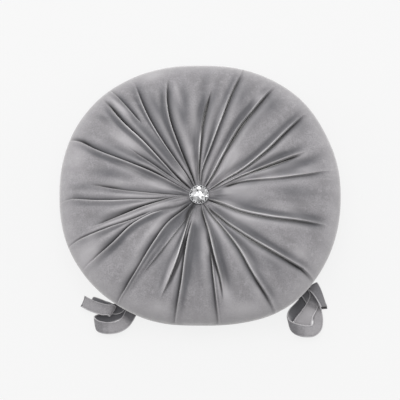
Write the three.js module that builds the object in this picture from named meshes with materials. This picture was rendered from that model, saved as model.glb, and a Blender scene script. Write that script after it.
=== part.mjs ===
// A round velvet chair pad, lying on its back. One filled pad is drawn in to a crystal
// button at its middle, so that its face breaks into radiating folds, and four short
// ribbon ties lie in loops and folds at its lower rim.
// Millimetres, +Z up. The origin is on the resting face, straight below the button.
import * as THREE from 'three';
import { mergeVertices } from 'three/addons/utils/BufferGeometryUtils.js';

// The pad's outline in plan: a slightly squared oval, a little off the button's axis
const HALF_WIDTH = 200;
const HALF_DEPTH = 192;
const OUTLINE_POWER = 2.2;
const OUTLINE_SHIFT = { x: 1.5, y: 3.8 };

// Where the outline swells out (or draws in, if negative): middle and spread in degrees
const OUTLINE_SWELLS = [
  { at: 308, spread: 16, out: 4 },
  { at: 28, spread: 14, out: -2.5 },
  { at: 273, spread: 16, out: -2.2 },
  { at: 214, spread: 12, out: -1.5 },
  { at: 232, spread: 12, out: -1.6 },
];

// The pad's section: the seat under the button, the crown, the widest line and the base.
// Shares are parts of the way from the button's axis to the outline.
const SEAT = { share: 0.08, height: 46 };
const CROWN = { share: 0.58, height: 80 };
const WIDEST_HEIGHT = 36;
const BASE_SHARE = 0.87;
const FUNNEL_POWER = 0.95;
const SHOULDER_POWER = 2.3;
const RINGS = { funnel: 8, shoulder: 8, under: 4 };

// Folds: the angle of each at five shares of the radius, the shares between which it
// runs, its depth, and whether its steep side faces clockwise (1) or the other way (-1)
const FOLD_SHARES = [0.15, 0.3, 0.5, 0.7, 0.9];
const FOLDS = [
  { angles: [15, 11, 7, 6, 7], from: 0.2, to: 0.9, depth: 3, facing: 1 },
  { angles: [20, 20, 19, 19, 19], from: 0.18, to: 0.74, depth: 5, facing: 1 },
  { angles: [24, 25, 30, 34, 36], from: 0.15, to: 0.92, depth: 5, facing: 1 },
  { angles: [52, 57, 57, 56, 55], from: 0.1, to: 0.9, depth: 6, facing: 1 },
  { angles: [84, 77, 74, 72, 70], from: 0.12, to: 0.97, depth: 4, facing: 1 },
  { angles: [91, 89, 87, 84, 81], from: 0.12, to: 0.88, depth: 5, facing: 1 },
  { angles: [111, 112, 112, 109, 104], from: 0.12, to: 0.86, depth: 5, facing: 1 },
  { angles: [122, 125, 125, 123, 119], from: 0.12, to: 0.92, depth: 4.5, facing: 1 },
  { angles: [132, 133, 132, 131, 130], from: 0.66, to: 0.97, depth: 3, facing: 1 },
  { angles: [144, 141, 138, 137, 135], from: 0.1, to: 0.92, depth: 6, facing: 1 },
  { angles: [151, 149, 144, 141, 141], from: 0.22, to: 0.6, depth: 3, facing: 1 },
  { angles: [158, 157, 158, 158, 157], from: 0.15, to: 0.98, depth: 5, facing: 1 },
  { angles: [171, 166, 163, 163, 164], from: 0.1, to: 0.55, depth: 3.5, facing: 1 },
  { angles: [181, 183, 181, 178, 176], from: 0.2, to: 0.82, depth: 3, facing: -1 },
  { angles: [186, 191, 188, 186, 184], from: 0.28, to: 0.96, depth: 3.5, facing: 1 },
  { angles: [188, 193, 198, 200, 200], from: 0.1, to: 0.74, depth: 6, facing: 1 },
  { angles: [216, 207, 206, 205, 203], from: 0.1, to: 0.97, depth: 4.5, facing: 1 },
  { angles: [219, 210, 210, 213, 214], from: 0.38, to: 0.9, depth: 4.5, facing: 1 },
  { angles: [227, 226, 230, 233, 234], from: 0.15, to: 0.97, depth: 5, facing: 1 },
  { angles: [236, 243, 240, 238, 238], from: 0.28, to: 0.65, depth: 3, facing: 1 },
  { angles: [243, 249, 251, 251, 250], from: 0.1, to: 0.5, depth: 5, facing: 1 },
  { angles: [250, 254, 256, 255, 252], from: 0.46, to: 0.82, depth: 5, facing: -1 },
  { angles: [258, 256, 257, 258, 259], from: 0.2, to: 0.97, depth: 4, facing: 1 },
  { angles: [276, 279, 279, 278, 278], from: 0.42, to: 1, depth: 4, facing: 1 },
  { angles: [281, 282, 281, 282, 281], from: 0.18, to: 0.84, depth: 6, facing: 1 },
  { angles: [297, 300, 302, 301, 302], from: 0.15, to: 0.95, depth: 4.5, facing: 1 },
  { angles: [305, 309, 315, 319, 322], from: 0.12, to: 0.97, depth: 5.5, facing: 1 },
  { angles: [334, 332, 336, 340, 343], from: 0.12, to: 0.88, depth: 5, facing: 1 },
];

// Soft hollows in the gores between the folds, with their width
const HOLLOWS = [
  { angles: [14, 13, 13, 15, 18], from: 0.55, to: 0.92, depth: 2.5, width: 7 },
  { angles: [23, 23, 22, 22, 23], from: 0.55, to: 0.85, depth: 2, width: 5 },
  { angles: [45, 45, 45, 45, 45], from: 0.3, to: 0.6, depth: 2.5, width: 16 },
  { angles: [100, 98, 92, 88, 86], from: 0.35, to: 0.92, depth: 2.5, width: 7 },
  { angles: [154, 154, 155, 152, 150], from: 0.45, to: 0.7, depth: 2.5, width: 6 },
  { angles: [224, 220, 217, 216, 217], from: 0.68, to: 0.97, depth: 2, width: 5 },
  { angles: [238, 236, 236, 236, 236], from: 0.08, to: 0.4, depth: 6, width: 9 },
  { angles: [270, 269, 268, 266, 265], from: 0.25, to: 0.75, depth: 3, width: 12 },
  { angles: [288, 290, 288, 286, 286], from: 0.15, to: 0.86, depth: 4, width: 8 },
  { angles: [302, 306, 308, 307, 307], from: 0.3, to: 0.75, depth: 3, width: 6 },
  { angles: [318, 319, 320, 322, 324], from: 0.2, to: 0.6, depth: 3, width: 12 },
  { angles: [344, 345, 344, 346, 346], from: 0.7, to: 0.92, depth: 2, width: 5 },
  { angles: [358, 350, 345, 345, 345], from: 0.14, to: 0.45, depth: 5, width: 13 },
];

// How a fold's two sides fall away, how its step opens out and flattens towards the rim,
// and how it fades at its ends
const CREASE_REACH = 6;
const RIDGE_REACH = 8;
const RIDGE_SHARE = 0.4;
const STEP = { inner: 0.6, outer: 6 };
const DEPTH_LEFT_AT_RIM = 0.45;
const OPENS = { from: 0.55, to: 1 };
const FADE = { inner: 0.05, outer: 0.1 };
const WIDEST_STEP_SHARE = 0.2;
const FREE_SHARE_OF_GORE = 0.45;
const DEGREES_PER_COLUMN = 4.5;

// The crystal button in its metal setting
const SETTING = { radius: 14.4, wall: 1.7, floor: 1.3, height: 3, sides: 32 };
const CRYSTAL = { radius: 12.3, girdle: 1.6, table: 7, height: 5.2, sides: 12 };
const GAP = 0.3;
const MERGE_DISTANCE = 1e-4;

// Ties: flat sewn velvet tubes. Each station gives the middle of the ribbon, the plan
// angle and lift of the direction across it, and where the tube's end is spread, how far.
const TIE = { width: 17, thickness: 2.4, stepsPerStation: 4 };
const TIES = {
  tie_left_upper: [
    { x: -109.7, y: -148.7, z: 6.4, turn: 148, lift: 0 },
    { x: -113.8, y: -154.6, z: 6, turn: 133, lift: 0 },
    { x: -119.1, y: -156.2, z: 5.8, turn: 112, lift: 0 },
    { x: -126.5, y: -154.8, z: 5.7, turn: 90, lift: 0 },
    { x: -134.4, y: -152.6, z: 5.6, turn: 78, lift: 0 },
    { x: -142.5, y: -150, z: 5.6, turn: 74, lift: 0 },
    { x: -149.3, y: -148.3, z: 5.6, turn: 74, lift: 0 },
    { x: -151.2, y: -147.8, z: 6.5, turn: 74, lift: 0 },
    { x: -152, y: -147.6, z: 8.5, turn: 73, lift: 0 },
    { x: -151.2, y: -147.8, z: 10.5, turn: 72, lift: 0 },
    { x: -149.3, y: -148.3, z: 11.4, turn: 71, lift: 0 },
    { x: -140.2, y: -151.7, z: 11.4, turn: 67, lift: 0 },
    { x: -130.2, y: -156.3, z: 11.3, turn: 60, lift: 0 },
    { x: -124.5, y: -160.4, z: 11.3, turn: 59, lift: 0 },
    { x: -122.6, y: -161.5, z: 12.2, turn: 59, lift: 0 },
    { x: -121.8, y: -162, z: 14.4, turn: 60, lift: 0 },
    { x: -122.6, y: -161.5, z: 16.6, turn: 61, lift: 0 },
    { x: -124.5, y: -160.4, z: 17.5, turn: 62, lift: 0 },
    { x: -132.3, y: -160.2, z: 17.2, turn: 65, lift: 0 },
    { x: -144.3, y: -156.9, z: 16, turn: 68, lift: 0 },
    { x: -154.9, y: -151.9, z: 13, turn: 69, lift: 0 },
    { x: -165, y: -145.2, z: 8, turn: 70, lift: 0 },
  ],
  tie_left_lower: [
    { x: -101.8, y: -149.1, z: 2.8, turn: 150, lift: 0 },
    { x: -107.8, y: -156.8, z: 2.3, turn: 138, lift: 0 },
    { x: -115.2, y: -162.6, z: 2, turn: 122, lift: 0 },
    { x: -124.5, y: -166.4, z: 2, turn: 112, lift: 0 },
    { x: -134.4, y: -169.2, z: 2.2, turn: 108, lift: 0 },
    { x: -141.8, y: -172.4, z: 4.2, turn: 105, lift: 8 },
    { x: -146.3, y: -176.2, z: 8.4, turn: 99, lift: 22 },
    { x: -142.6, y: -182.4, z: 12.6, turn: 93, lift: 18 },
    { x: -133, y: -185.6, z: 13.8, turn: 90, lift: 10 },
    { x: -121.7, y: -185.5, z: 13, turn: 92, lift: 4 },
    { x: -112.1, y: -182.7, z: 11.4, turn: 104, lift: 0 },
    { x: -104.7, y: -177.1, z: 9.6, turn: 122, lift: 0 },
    { x: -99.9, y: -169.6, z: 8, turn: 138, lift: 0 },
    { x: -95.2, y: -160.2, z: 7.4, turn: 147, lift: 0 },
  ],
  tie_right_upper: [
    { x: 145, y: -187, z: 3.2, turn: 343, lift: 0, spread: 1.6 },
    { x: 146.8, y: -177, z: 7.4, turn: 338, lift: 2, spread: 1.54 },
    { x: 152.6, y: -165, z: 11.2, turn: 334, lift: 12, spread: 1.15 },
    { x: 160, y: -152.5, z: 10.4, turn: 336, lift: 0 },
    { x: 164.4, y: -142, z: 10.6, turn: 346, lift: 0 },
    { x: 164.6, y: -133.6, z: 11.2, turn: 10, lift: 0 },
    { x: 161.5, y: -126.6, z: 11.4, turn: 30, lift: 0 },
    { x: 160.4, y: -125, z: 12.3, turn: 33, lift: 0 },
    { x: 160, y: -124.3, z: 14.3, turn: 33, lift: 0 },
    { x: 160.4, y: -125, z: 16.3, turn: 33, lift: 0 },
    { x: 161.5, y: -126.6, z: 17.2, turn: 33, lift: 0 },
    { x: 166.2, y: -134.2, z: 19.2, turn: 31, lift: -30 },
    { x: 170.4, y: -142.6, z: 19, turn: 28, lift: -45 },
    { x: 173.8, y: -150.3, z: 16.5, turn: 25, lift: -52 },
    { x: 176.9, y: -158, z: 12.5, turn: 22, lift: -52 },
  ],
  tie_right_lower: [
    { x: 143.6, y: -126.8, z: 3.6, turn: 218, lift: 0 },
    { x: 148.6, y: -135.2, z: 3, turn: 198, lift: 0 },
    { x: 149.4, y: -142.9, z: 2.6, turn: 168, lift: 0 },
    { x: 145, y: -149.8, z: 2.4, turn: 143, lift: 0 },
    { x: 138.7, y: -156.6, z: 2.6, turn: 133, lift: 0 },
    { x: 132.7, y: -163.3, z: 4.6, turn: 127, lift: 14 },
    { x: 128.2, y: -169.9, z: 8, turn: 118, lift: 34 },
    { x: 126.5, y: -176.2, z: 11.6, turn: 108, lift: 44 },
    { x: 129.9, y: -183.3, z: 14.2, turn: 97, lift: 36 },
    { x: 138.7, y: -188.5, z: 15.4, turn: 88, lift: 22 },
    { x: 150, y: -190.8, z: 15, turn: 84, lift: 10 },
    { x: 160.6, y: -189.4, z: 13.4, turn: 100, lift: 4 },
    { x: 166.6, y: -182.3, z: 9.8, turn: 130, lift: 0 },
    { x: 167.4, y: -172.6, z: 7, turn: 160, lift: 0 },
    { x: 166, y: -162.5, z: 6.2, turn: 183, lift: 0 },
    { x: 163.1, y: -152.8, z: 6.4, turn: 197, lift: 0 },
    { x: 158.9, y: -144.1, z: 6.8, turn: 207, lift: 0 },
    { x: 153.7, y: -135.4, z: 7.8, turn: 214, lift: 0 },
    { x: 148.7, y: -128.8, z: 8.2, turn: 218, lift: 0 },
  ],
};

// Colours and finishes
const velvet = () => new THREE.MeshStandardMaterial({ color: 0x98989b, roughness: 0.9, metalness: 0 });
const glass = () => new THREE.MeshStandardMaterial({ color: 0xe9ebee, roughness: 0.05, metalness: 0 });
const silver = () => new THREE.MeshStandardMaterial({ color: 0xb9babd, roughness: 0.25, metalness: 1 });

const radians = THREE.MathUtils.degToRad;
const smoothstep = THREE.MathUtils.smoothstep;

// A smooth curve through values given at the fold shares, held level past both ends
function alongFold(values, share) {
  const last = FOLD_SHARES.length - 1;
  if (share <= FOLD_SHARES[0]) return values[0];
  if (share >= FOLD_SHARES[last]) return values[last];
  const k = FOLD_SHARES.findIndex((next) => next > share) - 1;
  const width = FOLD_SHARES[k + 1] - FOLD_SHARES[k];
  const slopeAt = (i) => {
    const before = Math.max(i - 1, 0);
    const after = Math.min(i + 1, last);
    return (values[after] - values[before]) / (FOLD_SHARES[after] - FOLD_SHARES[before]);
  };
  const u = (share - FOLD_SHARES[k]) / width;
  const rise = u * u * (3 - 2 * u);
  const bend = slopeAt(k) * u * (1 - u) ** 2 - slopeAt(k + 1) * u * u * (1 - u);
  return values[k] + (values[k + 1] - values[k]) * rise + width * bend;
}

// Distance from the button's axis to the outline, towards an angle in degrees
function outlineRadius(angle) {
  const x = Math.cos(radians(angle));
  const y = Math.sin(radians(angle));
  const oval = Math.abs(x / HALF_WIDTH) ** OUTLINE_POWER + Math.abs(y / HALF_DEPTH) ** OUTLINE_POWER;
  let radius = oval ** (-1 / OUTLINE_POWER) + OUTLINE_SHIFT.x * x + OUTLINE_SHIFT.y * y;
  for (const { at, spread, out } of OUTLINE_SWELLS) {
    const away = THREE.MathUtils.euclideanModulo(angle - at + 180, 360) - 180;
    radius += out * Math.exp(-((away / spread) ** 2));
  }
  return radius;
}

// The section's points from the middle of the base, round the rim, to the button's seat
function sectionPoints() {
  const points = [new THREE.Vector2(0, 0)];
  for (let i = RINGS.under; i >= 1; i--) {
    const turn = (Math.PI / 2) * (i / RINGS.under);
    points.push(new THREE.Vector2(
      1 - (1 - BASE_SHARE) * (1 - Math.cos(turn)), WIDEST_HEIGHT * (1 - Math.sin(turn))));
  }
  for (let i = RINGS.shoulder; i >= 1; i--) {
    const turn = (Math.PI / 2) * (i / RINGS.shoulder);
    points.push(new THREE.Vector2(
      CROWN.share + (1 - CROWN.share) * Math.sin(turn) ** (2 / SHOULDER_POWER),
      WIDEST_HEIGHT + (CROWN.height - WIDEST_HEIGHT) * Math.cos(turn) ** (2 / SHOULDER_POWER)));
  }
  for (let i = RINGS.funnel; i >= 0; i--) {
    const up = i / RINGS.funnel;
    points.push(new THREE.Vector2(
      SEAT.share + (CROWN.share - SEAT.share) * up,
      SEAT.height + (CROWN.height - SEAT.height) * Math.sin((Math.PI / 2) * up) ** FUNNEL_POWER));
  }
  points.push(new THREE.Vector2(0, SEAT.height));
  return points;
}

// How much of a fold or hollow is there at a share of the radius
function presence({ from, to }, share) {
  const begins = smoothstep(share, from - FADE.inner, from + FADE.inner);
  const ends = smoothstep(share, to - FADE.outer, to + FADE.outer);
  return begins * (1 - ends);
}

// Columns of points: each gore between two folds is shared out evenly, and each fold has
// one column at the foot of its step and one at the top
function padColumns() {
  const middle = (FOLD_SHARES.length - 1) / 2;
  return FOLDS.flatMap((fold, gore) => {
    const next = FOLDS[(gore + 1) % FOLDS.length];
    const span = THREE.MathUtils.euclideanModulo(next.angles[middle] - fold.angles[middle], 360);
    const parts = 1 + Math.round(span / DEGREES_PER_COLUMN);
    return Array.from({ length: parts + 1 }, (_, i) => ({ gore, across: i / parts }));
  });
}

// The angle of a column at a share of the radius, and how far its cloth stands out there
function clothAt({ gore, across }, share) {
  const low = FOLDS[gore];
  const high = FOLDS[(gore + 1) % FOLDS.length];
  const start = alongFold(low.angles, share);
  const span = THREE.MathUtils.euclideanModulo(alongFold(high.angles, share) - start, 360);
  const opened = smoothstep(share, OPENS.from, OPENS.to);
  const stepWidth = THREE.MathUtils.lerp(STEP.inner, STEP.outer, opened);
  const wantedHalf = THREE.MathUtils.radToDeg(stepWidth / (2 * share * HALF_WIDTH));
  const halfStep = Math.min(wantedHalf, WIDEST_STEP_SHARE * span);
  const angle = start + halfStep + across * (span - 2 * halfStep);
  const millimetres = radians(1) * share * outlineRadius(angle);
  const room = FREE_SHARE_OF_GORE * span * millimetres;
  const strength = THREE.MathUtils.lerp(1, DEPTH_LEFT_AT_RIM, opened);
  const side = (fold, distance, facing) => {
    const reach = Math.min(facing > 0 ? CREASE_REACH : RIDGE_REACH, room);
    const height = facing > 0 ? -fold.depth : RIDGE_SHARE * fold.depth;
    return presence(fold, share) * strength * height * Math.exp(-distance / reach);
  };
  let out = side(low, across * span * millimetres, -low.facing);
  out += side(high, (1 - across) * span * millimetres, high.facing);
  for (const hollow of HOLLOWS) {
    const away = THREE.MathUtils.euclideanModulo(angle - alongFold(hollow.angles, share) + 180, 360) - 180;
    out -= presence(hollow, share) * hollow.depth * Math.exp(-((away * millimetres / hollow.width) ** 2));
  }
  return { angle, out };
}

// The filled pad: a lathed section whose points are moved to the outline and the folds
function padGeometry() {
  const section = sectionPoints();
  const columns = padColumns();
  const geometry = new THREE.LatheGeometry(section, columns.length);
  const position = geometry.attributes.position;
  const isFolded = (ring) => ring > RINGS.under && ring < section.length - 2;
  for (let c = 0; c <= columns.length; c++) {
    const column = columns[c % columns.length];
    section.forEach(({ x: share, y: height }, ring) => {
      const index = c * section.length + ring;
      if (share === 0) {
        position.setXYZ(index, 0, 0, height);
        return;
      }
      const { angle, out } = clothAt(column, share);
      const radius = share * outlineRadius(angle);
      const before = section[ring - 1];
      const after = section[Math.min(ring + 1, section.length - 2)];
      const tangent = new THREE.Vector2((after.x - before.x) * HALF_WIDTH, after.y - before.y).normalize();
      const lift = isFolded(ring) ? out : 0;
      const reach = radius + tangent.y * lift;
      position.setXYZ(
        index, reach * Math.cos(radians(angle)), reach * Math.sin(radians(angle)), height - tangent.x * lift);
    });
  }
  return closed(geometry);
}

// A ribbon: a long box bent along a curve, with its width turned as the stations say
function tieGeometry(stations) {
  const curve = new THREE.CatmullRomCurve3(stations.map(({ x, y, z }) => new THREE.Vector3(x, y, z)));
  const steps = TIE.stepsPerStation * (stations.length - 1);
  const geometry = new THREE.BoxGeometry(1, TIE.width, TIE.thickness, steps, 1, 1);
  const position = geometry.attributes.position;
  const direction = ({ turn, lift }) => new THREE.Vector3(
    Math.cos(radians(turn)) * Math.cos(radians(lift)),
    Math.sin(radians(turn)) * Math.cos(radians(lift)),
    Math.sin(radians(lift)));
  for (let i = 0; i < position.count; i++) {
    const along = Math.round((position.getX(i) + 0.5) * steps) / steps;
    const place = along * (stations.length - 1);
    const k = Math.min(Math.floor(place), stations.length - 2);
    const tangent = curve.getTangent(along);
    const across = direction(stations[k]).lerp(direction(stations[k + 1]), place - k);
    across.normalize();
    const spread = THREE.MathUtils.lerp(stations[k].spread ?? 1, stations[k + 1].spread ?? 1, place - k);
    const normal = tangent.clone().cross(across).normalize();
    const point = curve.getPoint(along);
    point.addScaledVector(across, spread * position.getY(i)).addScaledVector(normal, position.getZ(i));
    position.setXYZ(i, point.x, point.y, point.z);
  }
  return closed(geometry);
}

// The metal cup that holds the crystal
function settingGeometry() {
  const { radius, wall, floor, height, sides } = SETTING;
  const bevel = wall / 2;
  const outline = [
    [0, 0], [radius - bevel, 0], [radius, bevel], [radius, height - bevel], [radius - bevel, height],
    [radius - wall, height], [radius - wall, floor], [0, floor],
  ];
  const geometry = new THREE.LatheGeometry(outline.map(([r, z]) => new THREE.Vector2(r, z)), sides);
  return closed(geometry.rotateX(Math.PI / 2));
}

// The crystal: a flat back, a short girdle and a cut crown, whose table is turned by half
// a facet so that the crown is a ring of triangles
function crystalGeometry() {
  const { radius, girdle, table, height, sides } = CRYSTAL;
  const outline = [[0, 0], [radius, 0], [radius, girdle], [table, height], [0, height]];
  const geometry = new THREE.LatheGeometry(outline.map(([r, z]) => new THREE.Vector2(r, z)), sides);
  const position = geometry.attributes.position;
  const halfFacet = Math.PI / sides;
  for (let i = 0; i < position.count; i++) {
    if (position.getY(i) < height) continue;
    const point = new THREE.Vector3().fromBufferAttribute(position, i);
    point.applyAxisAngle(new THREE.Vector3(0, 1, 0), halfFacet);
    position.setXYZ(i, point.x, point.y, point.z);
  }
  return closed(geometry.rotateX(Math.PI / 2));
}

// One closed surface, with the doubled points along its seams merged
function closed(geometry) {
  geometry.deleteAttribute('normal');
  geometry.deleteAttribute('uv');
  const merged = mergeVertices(geometry, MERGE_DISTANCE);
  merged.computeVertexNormals();
  return merged;
}

function piece(name, geometry, material) {
  const mesh = new THREE.Mesh(geometry, material);
  mesh.name = name;
  return mesh;
}

const chairPad = new THREE.Group();
chairPad.add(piece('pad', padGeometry(), velvet()));

const button = new THREE.Group();
button.position.z = SEAT.height + GAP;
const crystal = piece('button_crystal', crystalGeometry(), glass());
crystal.position.z = SETTING.floor + GAP;
button.add(piece('button_setting', settingGeometry(), silver()), crystal);
chairPad.add(button);

for (const [name, stations] of Object.entries(TIES)) {
  chairPad.add(piece(name, tieGeometry(stations), velvet()));
}

export default chairPad;
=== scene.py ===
"""Velvet Chair Pad: an add-on that dresses a round, tufted chair pad.

The pad is one filled velvet form drawn in to a crystal button, so that its face breaks into
radiating folds. Four ribbon ties lie in loops and folds at its lower rim. Everything is in
metres, +Z up, with the origin on the resting face straight below the button.
"""

import math
from typing import NamedTuple

import bmesh
import bpy
import numpy as np
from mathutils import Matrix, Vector


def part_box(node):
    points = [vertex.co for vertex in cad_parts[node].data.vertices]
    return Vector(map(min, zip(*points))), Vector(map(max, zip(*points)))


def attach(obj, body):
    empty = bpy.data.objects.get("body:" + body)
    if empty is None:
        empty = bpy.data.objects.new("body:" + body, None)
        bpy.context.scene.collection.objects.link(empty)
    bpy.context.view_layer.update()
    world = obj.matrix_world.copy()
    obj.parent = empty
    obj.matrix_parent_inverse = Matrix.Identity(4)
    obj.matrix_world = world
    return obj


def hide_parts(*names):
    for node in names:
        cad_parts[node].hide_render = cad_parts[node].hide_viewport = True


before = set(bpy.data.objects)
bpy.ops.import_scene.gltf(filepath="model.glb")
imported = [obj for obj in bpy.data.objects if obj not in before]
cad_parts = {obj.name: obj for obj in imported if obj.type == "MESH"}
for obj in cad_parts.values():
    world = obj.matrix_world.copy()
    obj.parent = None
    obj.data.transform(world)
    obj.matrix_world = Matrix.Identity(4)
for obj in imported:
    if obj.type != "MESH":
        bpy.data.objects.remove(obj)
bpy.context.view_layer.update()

bl_info = {
    "name": "Velvet Chair Pad",
    "version": (1, 0, 0),
    "blender": (4, 5, 0),
    "location": "View3D > Sidebar > Chair Pad",
    "description": "Builds a round tufted velvet chair pad with a crystal button and ribbon ties",
    "category": "Add Mesh",
}

BODY = "root"

# Places that come from the frame
SETTING_LOW, SETTING_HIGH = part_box("button_setting")
CRYSTAL_LOW, CRYSTAL_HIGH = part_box("button_crystal")


class Swell(NamedTuple):
    """A place where the pad's outline swells out, or draws in if negative."""

    at: float
    spread: float
    out: float


class Fold(NamedTuple):
    """A fold: its angle at each of FOLD_SHARES, where it runs, and its shape.

    facing is 1 where its steep side looks clockwise and -1 where it looks the other way. glint is
    how strong the painted highlight along its ridge is, and dark is how strong the painted shade in
    its crease is.
    """

    angles: tuple
    start: float
    end: float
    depth: float
    facing: int
    glint: float
    dark: float


class Hollow(NamedTuple):
    """A hollow in the cloth, and how dark the painted shade at its bottom is."""

    angles: tuple
    start: float
    end: float
    depth: float
    width: float
    dark: float = 0.0


class PaintedPatch(NamedTuple):
    """A patch of painted shade or painted light: its middle, half its width and length, and how dark or
    pale it is painted.

    dark is above 0 where the patch is painted shade, and below 0 where it is painted light.
    """

    at: float
    share: float
    width: float
    reach: float
    dark: float


class Station(NamedTuple):
    """A point on a tie's middle, the plan angle and lift of the direction across it, and the spread."""

    x: float
    y: float
    z: float
    turn: float
    lift: float = 0.0
    spread: float = 1.0


class ShadingStretch(NamedTuple):
    """A stretch of one face of a tie with painted shade, or painted light where dark is below 0."""

    start: float
    end: float
    face: int
    dark: float


class Ramp(NamedTuple):
    """A value that passes smoothly from one figure to another between two places."""

    start: float
    end: float
    first: float
    last: float

    def at(self, place):
        """The value at some places."""
        return self.first + (self.last - self.first) * smoothstep(place, self.start, self.end)


# Angles are in degrees from +X towards +Y. Shares run from 0 at the button's axis to 1 at the outline
OUTLINE_SWELLS = (
    Swell(308, 16, 0.0040),
    Swell(28, 14, -0.0025),
    Swell(273, 16, -0.0022),
    Swell(214, 12, -0.0015),
    Swell(232, 12, -0.0016),
)

FOLD_SHARES = np.array((0.15, 0.3, 0.5, 0.7, 0.9))
# Each fold's last two numbers set its painted ridge highlight and its painted crease shade
FOLDS = tuple(Fold(*row) for row in (
    ((17, 13, 8.5, 8, 9), 0.22, 0.88, 0.0030, 1, 0.8, 0.7),
    ((20, 20, 19.3, 20, 20), 0.18, 0.72, 0.0050, 1, 1.0, 1.0),
    ((28, 26.2, 29.8, 34.2, 37), 0.10, 0.87, 0.0050, 1, 0.65, 1.1),
    ((55, 57.5, 58, 56.6, 55.6), 0.09, 0.86, 0.0060, 1, 0.7, 1.1),
    ((84, 76.5, 73.3, 72.2, 71), 0.10, 0.92, 0.0045, 1, 0.7, 0.35),
    ((91, 89, 87, 84, 81), 0.12, 0.68, 0.0050, 1, 1.0, 1.1),
    ((112.5, 113.5, 112.8, 109.3, 104), 0.10, 0.80, 0.0050, 1, 0.6, 0.8),
    ((122.7, 125.8, 125.6, 123.2, 120), 0.09, 0.86, 0.0045, 1, 1.1, 0.65),
    ((130.5, 131, 130.6, 130.3, 129.9), 0.68, 0.95, 0.0030, 1, 0.5, 0.75),
    ((145, 141.3, 138.8, 137.8, 135.3), 0.09, 0.88, 0.0060, 1, 1.0, 0.7),
    ((150.5, 149.6, 149.6, 148, 147), 0.14, 0.50, 0.0030, 1, 1.1, 0.75),
    ((159, 157.8, 158.6, 158.7, 156.8), 0.10, 0.94, 0.0050, 1, 0.65, 0.65),
    ((184, 184, 182, 178.6, 177), 0.10, 0.68, 0.0035, 1, 0.7, 0.5),
    ((186.5, 191.5, 189.4, 187, 184), 0.28, 0.92, 0.0035, 1, 1.0, 0.7),
    ((189, 195.5, 199.2, 200.2, 200), 0.10, 0.72, 0.0060, 1, 0.7, 0.7),
    ((203, 205, 205.8, 204, 203), 0.44, 0.96, 0.0040, 1, 0.8, 0.7),
    ((216, 208.5, 208.5, 212.6, 214.3), 0.36, 0.92, 0.0045, 1, 0.9, 0.75),
    ((227.5, 226.8, 230.6, 233, 234.2), 0.10, 0.97, 0.0050, 1, 0.85, 0.6),
    ((246, 243, 240.2, 238, 237.5), 0.20, 0.72, 0.0020, -1, 0.2, 0.7),
    ((247.5, 251.8, 253.2, 252.4, 251), 0.12, 0.80, 0.0050, -1, 1.0, 0.6),
    ((257, 256.8, 258.2, 259.6, 259.8), 0.28, 0.99, 0.0045, 1, 0.65, 0.75),
    ((277, 280, 280, 279, 278.5), 0.54, 1.00, 0.0040, 1, 0.6, 0.9),
    ((282, 283, 282.5, 283, 282), 0.10, 0.80, 0.0060, 1, 0.7, 1.15),
    ((299.5, 302, 302.7, 301.6, 302), 0.10, 0.97, 0.0045, 1, 0.6, 0.8),
    ((306.5, 311, 315.6, 319.2, 322), 0.18, 0.95, 0.0055, 1, 0.5, 1.0),
    ((336, 334, 337, 341.3, 344), 0.10, 0.86, 0.0050, 1, 0.75, 0.9),
))
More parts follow.
